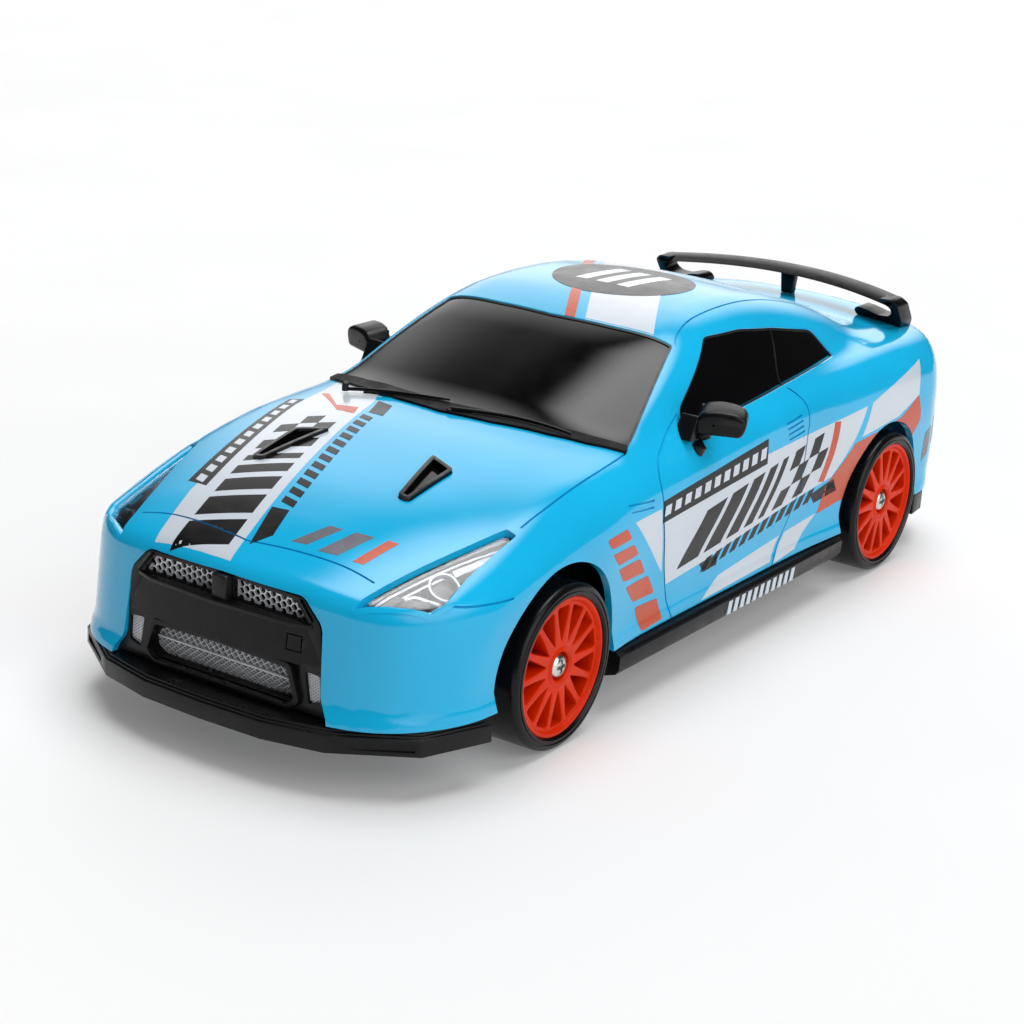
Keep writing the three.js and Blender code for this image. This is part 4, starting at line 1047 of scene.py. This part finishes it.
def cowl_and_wipers():
    """The grained strip at the windscreen's foot, and two arms with blades that lie on it."""
    strip = common(layer(-0.45, 0.3), prism(softened(both(COWL_EDGE), 0.4), "z", 40, 52))
    piece(skin_shaded(rounded(strip, 0.15)), "cowl_strip", COWL, ["cowl_panel"])
    arms = []
    for x0, x1 in ((1.5, 23), (-21, -0.5)):
        middle = ((x0 + x1) / 2, -36.4 + 0.003 * x1 * x1)
        plan = curve([(x0, -37.6), middle, (x1, -34.9 + 0.004 * x1 * x1)], 10)
        line = on_skin(plan, "z", 70, 30, -0.7)
        arms.append(tube(line, np.linspace(0.34, 0.2, len(line))))
        blade = on_skin([(x, y - 0.5) for x, y in plan[len(plan) // 5:]], "z", 70, 30, -0.4)
        arms.append(tube(blade, 0.2))
        arms.append(lathe_upright(x0, -37.6, 45.0, 0.6, 0.4))
    piece(shaded(merged(arms), 40), "wipers", TRIM)


def lathe_upright(x, y, z, r, height):
    """A small domed cap standing on z."""
    cap = lathe([(0.001, -1.2), (r, -1.2), (r, height * 0.4), (r * 0.6, height * 0.9), (0.001, height)], 32)
    cap.data.transform(Matrix.Rotation(math.radians(-90), 4, "Y"))
    return moved(cap, x, y, z)


WING_HALF = 27.6
WING_TOP = 50
WING_RAKE = 0.75  # how far the ends lean back for each mm below the wing's top


def wing_section(x):
    """The blade arches: its ends are lower and further forward than its middle."""
    away = (x / WING_HALF) ** 2
    front, rear = np.array([83.3, 49.8]), np.array([88.2, 51.1])
    drop = np.array([-5.0, -1.5]) * away
    across = [(0.0, 0.0), (0.1, 0.32), (0.4, 0.5), (0.75, 0.36), (1.0, 0.0), (0.98, -0.3), (0.6, -0.28),
              (0.15, -0.3)]
    return [(x, *(front + (rear - front) * t + (0, lift) + drop)) for t, lift in across]


def wing():
    """An arched blade whose ends curl down into feet that reach back inwards over the deck."""
    blade = loft([wing_section(x) for x in np.linspace(-WING_HALF, WING_HALF, 33)])
    curl = [(24.6, 49.7), (27.2, 49.8), (28.6, 48.6), (28.6, 44.8), (27.6, 42.6), (24, 43), (18.4, 44.4),
            (18.0, 45.6), (18.8, 46.6), (20.6, 46.4), (23.6, 45.4), (25.8, 45.6), (26.8, 46.6), (26.6, 47.8),
            (25.4, 48.5)]
    end = prism(softened(curl, 0.6), "y", 78.2, 83.4)
    for vertex in end.data.vertices:
        vertex.co.y += WING_RAKE * (WING_TOP * MM - vertex.co.z)
    post = prism(both([(0, 50.4), (1.8, 50.4), (1.1, 43.7), (0, 43.7)]), "y", 85.6, 87.6)
    hooks = [block(x - 1, x + 1, 85.2, 86.2, 49.2, 50.0) for x in (-15, 15)]
    join(blade, [*[rounded(o, 0.35) for o in (end, mirrored(end), post)], *hooks])
    cut(blade, skin(-0.1))
    piece(shaded(blade, 40), "wing_blade", TRIM, ["rear_wing"])


# ---- wheels
SPOKES = 14
RIM_FACE = WHEEL_FACE - 0.45
BORE_R = 1.6


def tyre():
    """A slick band with a rounded shoulder and a fine moulded line on its wall."""
    x1, x0, c, r = WHEEL_FACE, WHEEL_FACE - 9.6, 1.15, TYRE_R
    arc = [(r - c + c * math.sin(t), x1 - c + c * math.cos(t)) for t in np.linspace(0, math.pi / 2, 9)]
    back = [(a, x0 + x1 - x) for a, x in reversed(arc)]
    wall = [(12.55, x1), (12.6, x1 - 0.16), (12.85, x1 - 0.16), (12.9, x1)]
    return shaded(lathe([(11.75, x1 - 0.35), (12.1, x1), *wall, *arc, *back, (11.75, x0)], 192), 28)


def spoke_gap(index):
    """The pocket between two spokes: narrow at the hub and wide at the rim, with curved ends."""
    half = math.pi / SPOKES
    middle = 2 * half * index
    share = [(4.3, 0.08), (5.4, 0.36), (7.0, 0.60), (8.8, 0.72), (9.9, 0.75), (10.3, 0.62)]
    left = [(r * math.sin(middle - half * s), r * math.cos(middle - half * s)) for r, s in share]
    right = [(r * math.sin(middle + half * s), r * math.cos(middle + half * s)) for r, s in share]
    return curve(left, 4) + curve(right[::-1], 4)


def wheel_rim():
    """Spokes with pockets between them, the barrel, a disc behind and the hub, with the face at x = 0."""
    gaps = [spoke_gap(i) for i in range(SPOKES)]
    face = plate(circle(0, 0, 10.9, 144), [*gaps, circle(0, 0, 2.45)], "x", -3.4, -0.55, 0.18)
    barrel = [(10.6, -8.4), (11.3, -8.4), (11.3, -1.1), (11.75, -0.8), (11.75, -0.12), (11.6, 0), (11.15, 0),
              (10.95, -0.25), (10.6, -0.9)]
    disc = [(BORE_R, -7), (3.4, -7), (3.8, -6.4), (10.8, -6.2), (10.8, -5.7), (3.9, -5.7), (2.6, -2.0),
            (BORE_R, -2.0)]
    hub = [(2.4, -2.2), (4.2, -1.2), (3.4, -0.5), (2.75, -0.3), (2.45, -0.55)]
    return shaded(merged([face, lathe(barrel, 144), lathe(disc), lathe(hub, 64)]), 35)


def hub_screw():
    """A pan head with a cross recess, in the middle of the hub."""
    head = lathe([(0.001, -0.2), (0.9, -0.25), (1.6, -0.47), (2.05, -1.0), (2.1, -1.75), (0.001, -1.75)], 48)
    for depth, a, b in ((-1.1, 1.25, 0.26), (-1.1, 0.26, 1.25), (-1.3, 0.45, 0.45)):
        cut(head, block(depth, 0.65, -a, a, -b, b))
    return shaded(merged([rounded(head, 0.06), bar("x", 0.7, -5.35, -1.55, 0, 0)]), 35)


def wheels():
    """Tyre, rim and screw for each wheel; a front wheel's screw stays on its knuckle."""
    made = {
        "tyre": (tyre(), TYRE, "tyre_black"),
        "rim": (moved(wheel_rim(), RIM_FACE), ORANGE, "rim_orange"),
        "wheel_screw": (moved(hub_screw(), RIM_FACE), STEEL, "steel"),
    }
    for end, y in (("front", FRONT_Y), ("rear", REAR_Y)):
        for part, (template, material, slot) in made.items():
            for side, sign in SIDES:
                body = f"front_wheel_{side}" if end == "front" else "rear_wheels"
                if end == "front" and part == "wheel_screw":
                    body = f"steering_knuckle_{side}"
                one = moved(copied(template) if sign > 0 else mirrored(template), 0, y, AXLE_Z)
                piece(one, f"{end}_{part}_{side}_outer", material, [f"{end}_{part}_{side}"], body)
    discard(*(template for template, _, _ in made.values()))


# ---- printed graphics
DOOR_FIELD = [(-16.1, 19.8), (32.2, 23.6), (35.4, 34.0), (-11.0, 28.6)]
HOOD_FIELD = [(-1.6, -91.6), (-12.4, -49.8), (-21.6, -50.8), (-11.6, -91.6)]
# Each bar's start and end, as shares of the field's length.
BARS = [(0.0, 0.15), (0.19, 0.31), (0.35, 0.44), (0.48, 0.545), (0.585, 0.63)]
CHEQUERS = (0.69, 1.0, 4)  # where they start and end along the field, and their columns


def in_field(corners, u, v):
    a, b, c, d = (np.array(p) for p in corners)
    return ((a * (1 - u) + b * u) * (1 - v) + (d * (1 - u) + c * u) * v).tolist()


def slanted(corners, low, high, bottom=0.0, top=1.0, lean=0.06):
    """A leaning block inside a four-sided field; low to high is its share of the length."""
    return [
        in_field(corners, low + lean * (bottom - 0.5), bottom),
        in_field(corners, high + lean * (bottom - 0.5), bottom),
        in_field(corners, high + lean * (top - 0.5), top),
        in_field(corners, low + lean * (top - 0.5), top),
    ]


def speed_blocks(corners, lean=0.06):
    """Leaning bars that narrow towards the tail and end in three rows of chequers."""
    made = [slanted(corners, low, high, 0, 1, lean) for low, high in BARS]
    start, end, columns = CHEQUERS
    step = (end - start) / columns
    for row in range(3):
        for column in range(row % 2, columns, 2):
            at = start + column * step
            made.append(slanted(corners, at, at + step, row / 3, (row + 1) / 3, lean))
    return made


def dashes(corners, count, filled=0.6, low=0.28, high=0.72, lean=0.02):
    starts = [i + 0.2 for i in range(count)]
    return [slanted(corners, at / count, (at + filled) / count, low, high, lean) for at in starts]


BANNER = [(-25.2, 30.2), (11.3, 32.5), (11.7, 37.0), (-25.1, 34.0)]
HOOD_BANNER = [(-17.5, -77.8), (-25.8, -43.0), (-28.8, -43.3), (-22.2, -76.8)]
HOOD_DASHES = [(1.1, -78.5), (-8.1, -45.8), (-10.5, -45.8), (-1.7, -78.5)]
DOOR_DASHES = [(-9.0, 16.8), (31.5, 20.6), (32.4, 23.0), (-8.0, 19.0)]
ARCH_SWEEP = [(41.9, 18.0), (34.6, 17.2), (36.6, 22.7), (45.2, 29.1), (50.8, 29.4), (59.5, 29.6),
              (65.5, 30.4), (73.3, 33.2), (74.4, 28), (71.0, 24.0), (60, 20), (46, 18)]
HOOD_SWEEP = [(-15.1, -92.4), (0.7, -92.7), (-12.9, -39.6), (-16, -34), (-27.2, -32), (-25.5, -43.3),
              (-19.4, -79.3)]
FENDER_BLOCKS = [
    [(-43.9, 32.1), (-37.2, 32.4), (-35.6, 30.3), (-42.6, 30.3)],
    [(-42.1, 29.2), (-34.6, 29.0), (-32.5, 26.7), (-39.6, 26.7)],
    [(-39.3, 25.8), (-31.6, 25.6), (-28.9, 22.4), (-36.5, 22.8)],
    [(-35.2, 21.4), (-27.5, 21.4), (-24.6, 17.5), (-31.9, 17.8)],
    [(-30.9, 16.5), (-23.3, 16.1), (-22.0, 12.2), (-29.2, 11.9)],
]
SIDE_PRINT = {
    "white": [
        [(-34.4, 32.7), (-25.6, 32.9), (-25.2, 30.0), (-22.8, 20.7)],
        [(-24.8, 30.2), (-21, 17.9), (-8.5, 18.7), (37.8, 23.9), (50.8, 35.3), (11.2, 34.2)],
        [(-8.8, 11.8), (-2.2, 14.5), (20.4, 16.3), (16.5, 12.3)],
        [(22.5, 16.5), (34.2, 17.4), (26, 12.4), (17.7, 11.7)],
        [(53.2, 35.5), (76.4, 39.6), (73.3, 33.2), (63.4, 30.7), (47.8, 29.9)],
    ],
    "orange": [
        *[softened(o, 0.7) for o in FENDER_BLOCKS],
        ARCH_SWEEP,
        [(37.3, 34.9), (39.6, 34.6), (35.1, 23.6), (32.9, 24.0)],
    ],
    "black": [
        BANNER,
        *speed_blocks(DOOR_FIELD),
        [(-9.3, 18.5), (-7.7, 16.6), (-3, 16.8), (-3, 18.9)],
        [(30.8, 21.8), (38.8, 23.4), (40.8, 20.6), (32.7, 19.8)],
        *dashes(DOOR_DASHES, 12, low=0.0, high=1.0),
    ],
    "pale": dashes(BANNER, 11),
    "grey": [
        [(79, 24), (82, 25), (82.5, 19), (79.5, 17.5)],
        [(83.5, 26), (86.5, 27), (87, 22), (84.2, 20.5)],
    ],
}
ROUNDEL_BARS = [
    [(x - 1.3, 12.5), (x + 1.3, 12.5), (x + 3.1, 25.5), (x + 0.5, 25.5)] for x in (-5.4, -0.9, 3.6)
]
PLAN_PRINT = {
    "white": [
        HOOD_SWEEP,
        [(8.5, -8), (22.7, -8), (-4.6, 44), (-18.8, 44)],
    ],
    "orange": [
        [(-25.2, -38.9), (-23.8, -38.6), (-17.7, -44.1), (-13.3, -43.6), (-12.0, -46.6), (-15.9, -46.4)],
        [(4.2, -8), (6.4, -8), (-21.1, 44), (-23.3, 44)],
    ],
    "black": [
        HOOD_BANNER,
        *speed_blocks(HOOD_FIELD, -0.08),
        [(1.0, -88.6), (-2.3, -79.4), (1.0, -79.1), (3.0, -85.4)],
        [(-10.2, -44.8), (-12.3, -39.3), (-8.7, -40.2), (-7.0, -45.1)],
        *dashes(HOOD_DASHES, 12, low=0.0, high=1.0),
    ],
    "roundel": [circle(0, 19, 13.5, 72)],
    "grey": [
        [(6.6, -85.4), (9.4, -85.0), (12.0, -79.4), (9.6, -79.6)],
        [(11.8, -85.4), (15.2, -84.8), (17.4, -78.4), (14.2, -79)],
    ],
    "amber": [[(18.0, -84.6), (19.8, -84.2), (21.4, -77.4), (19.6, -77.8)]],
    "pale": dashes(HOOD_BANNER, 11) + ROUNDEL_BARS,
}
# Each ink: how far it stands off the paint, so that a later one covers an earlier one, and its material.
INKS = {
    "white": (0.03, PRINT_WHITE),
    "orange": (0.05, PRINT_ORANGE),
    "black": (0.05, PRINT_BLACK),
    "roundel": (0.055, PRINT_BLACK),
    "pale": (0.075, PRINT_WHITE),
    "grey": (0.04, PRINT_GREY),
    "amber": (0.04, PRINT_ORANGE),
}


def printed():
    """Thin inked films that follow the paint and stop at its openings and shut lines."""
    for ink, (lift, material) in INKS.items():
        film = layer(-lift, 0.12)
        cut(film, OPENINGS + GROOVES, keep=True)
        if ink in PLAN_PRINT:
            tools = merged([prism(o, "z", 29.5, 70) for o in PLAN_PRINT[ink]])
            piece(skin_shaded(common(copied(film), tools)), f"top_print_{ink}", material)
        if ink in SIDE_PRINT:
            tools = merged([prism(o, "x", 24, 45) for o in SIDE_PRINT[ink]])
            pair(common(copied(film), tools), f"side_print_{ink}", material, shade=skin_shaded)
        discard(film)


for build in (glazing, headlights, tail_lamps, grille_frame, bumper_bar, grille_meshes, splitter, skirts,
              rear_end, door_mirrors, ducts, cowl_and_wipers, wing, wheels, printed):
    build()

# ---- carried-over CAD nodes
CARRIED = {
    "chassis_black": CHASSIS,
    "white_nylon": NYLON,
    "steel": STEEL,
    "battery_wrap": WRAP,
    "board_green": BOARD,
    "trim_black": TRIM,
}


def repaint():
    """Every CAD node that still shows gets the worked-up version of its material."""
    slots = {row["node"]: row["material_slot"] for row in frame["record"]["subparts"]}
    for node, obj in frame["nodes"].items():
        material = CARRIED.get(slots[node], CHASSIS)
        for socket in obj.material_slots:
            socket.material = material


repaint()


# ---- camera, floor and light
FLOOR = finish("studio_floor", (0.72, 0.722, 0.725), 0.6, 0.01, 3, grain=None, Emission_Color=(1, 1, 1, 1),
               Emission_Strength=0.14, Specular_IOR_Level=0.1)
CAMERA_AT = (223.37, -353.17, 156.86)
LENS = 83.06
AZIMUTH, ELEVATION, ROLL = (math.radians(v) for v in (33.38, 18.554, 3.532))


def studio():
    """The camera as solved from the photo, a white floor and the soft room light."""
    scene = bpy.context.scene
    level = Vector((math.sin(AZIMUTH), -math.cos(AZIMUTH), 0)) * math.cos(ELEVATION)
    back = level + Vector((0, 0, math.sin(ELEVATION)))
    right = Vector((math.cos(AZIMUTH), math.sin(AZIMUTH), 0))
    up = back.cross(right)
    tilted = math.cos(ROLL) * right + math.sin(ROLL) * up
    upright = back.cross(tilted)
    camera = bpy.data.objects.new("camera", bpy.data.cameras.new("camera"))
    camera.data.lens = LENS
    camera.data.sensor_width = 36
    camera.data.clip_start = 0.01
    turned = Matrix([tilted, upright, back]).transposed().to_4x4()
    camera.matrix_world = Matrix.Translation(Vector(CAMERA_AT) * MM) @ turned
    scene.collection.objects.link(camera)
    scene.camera = camera
    scene.view_settings.view_transform = "Standard"

    corners = ((-1, -1), (1, -1), (1, 1), (-1, 1))
    floor = prism([(a * FLOOR_HALF, b * FLOOR_HALF) for a, b in corners], "z", -20, 0, "floor")
    floor.data.materials.append(FLOOR)

    scene.world = studio_light()


# Each soft light: the direction it comes from, the cosines where it starts and is full, and its strength.
SOFT_LIGHTS = (
    ((-0.02, 0.2, 0.98), 0.885, 0.975, 5.6),
    ((0.8, -0.2, 0.5), 0.8, 0.95, 2.1),
    ((-0.45, 0.78, 0.43), 0.86, 0.97, 1.8),
)
AMBIENT = 0.035
BACKDROP = 0.97
FLOOR_HALF = 3000


def studio_light():
    """A dim room with soft lights overhead and at the side; the camera itself sees a pale backdrop."""
    world = bpy.data.worlds.new("studio")
    world.use_nodes = True
    tree = world.node_tree
    direction = tree.nodes.new("ShaderNodeTexCoord").outputs["Generated"]
    total = AMBIENT
    for toward, start, full, strength in SOFT_LIGHTS:
        toward = Vector(toward).normalized()
        dot = add_node(tree, "VectorMath", {0: direction, 1: toward}, operation="DOT_PRODUCT")
        reach = {"Value": dot.outputs["Value"], "From Min": start, "From Max": full, "To Max": strength}
        lobe = add_node(tree, "MapRange", reach, interpolation_type="SMOOTHSTEP").outputs["Result"]
        total = add_node(tree, "Math", {0: lobe, 1: total}).outputs["Value"]
    camera_ray = tree.nodes.new("ShaderNodeLightPath").outputs["Is Camera Ray"]
    seen = add_node(tree, "Mix", {"Factor": camera_ray, "A": total, "B": BACKDROP}).outputs["Result"]
    tree.links.new(seen, tree.nodes["Background"].inputs["Strength"])
    tree.nodes["Background"].inputs["Color"].default_value = (1, 1, 1, 1)
    return world


studio()


discard(*OPENINGS, *GROOVES)
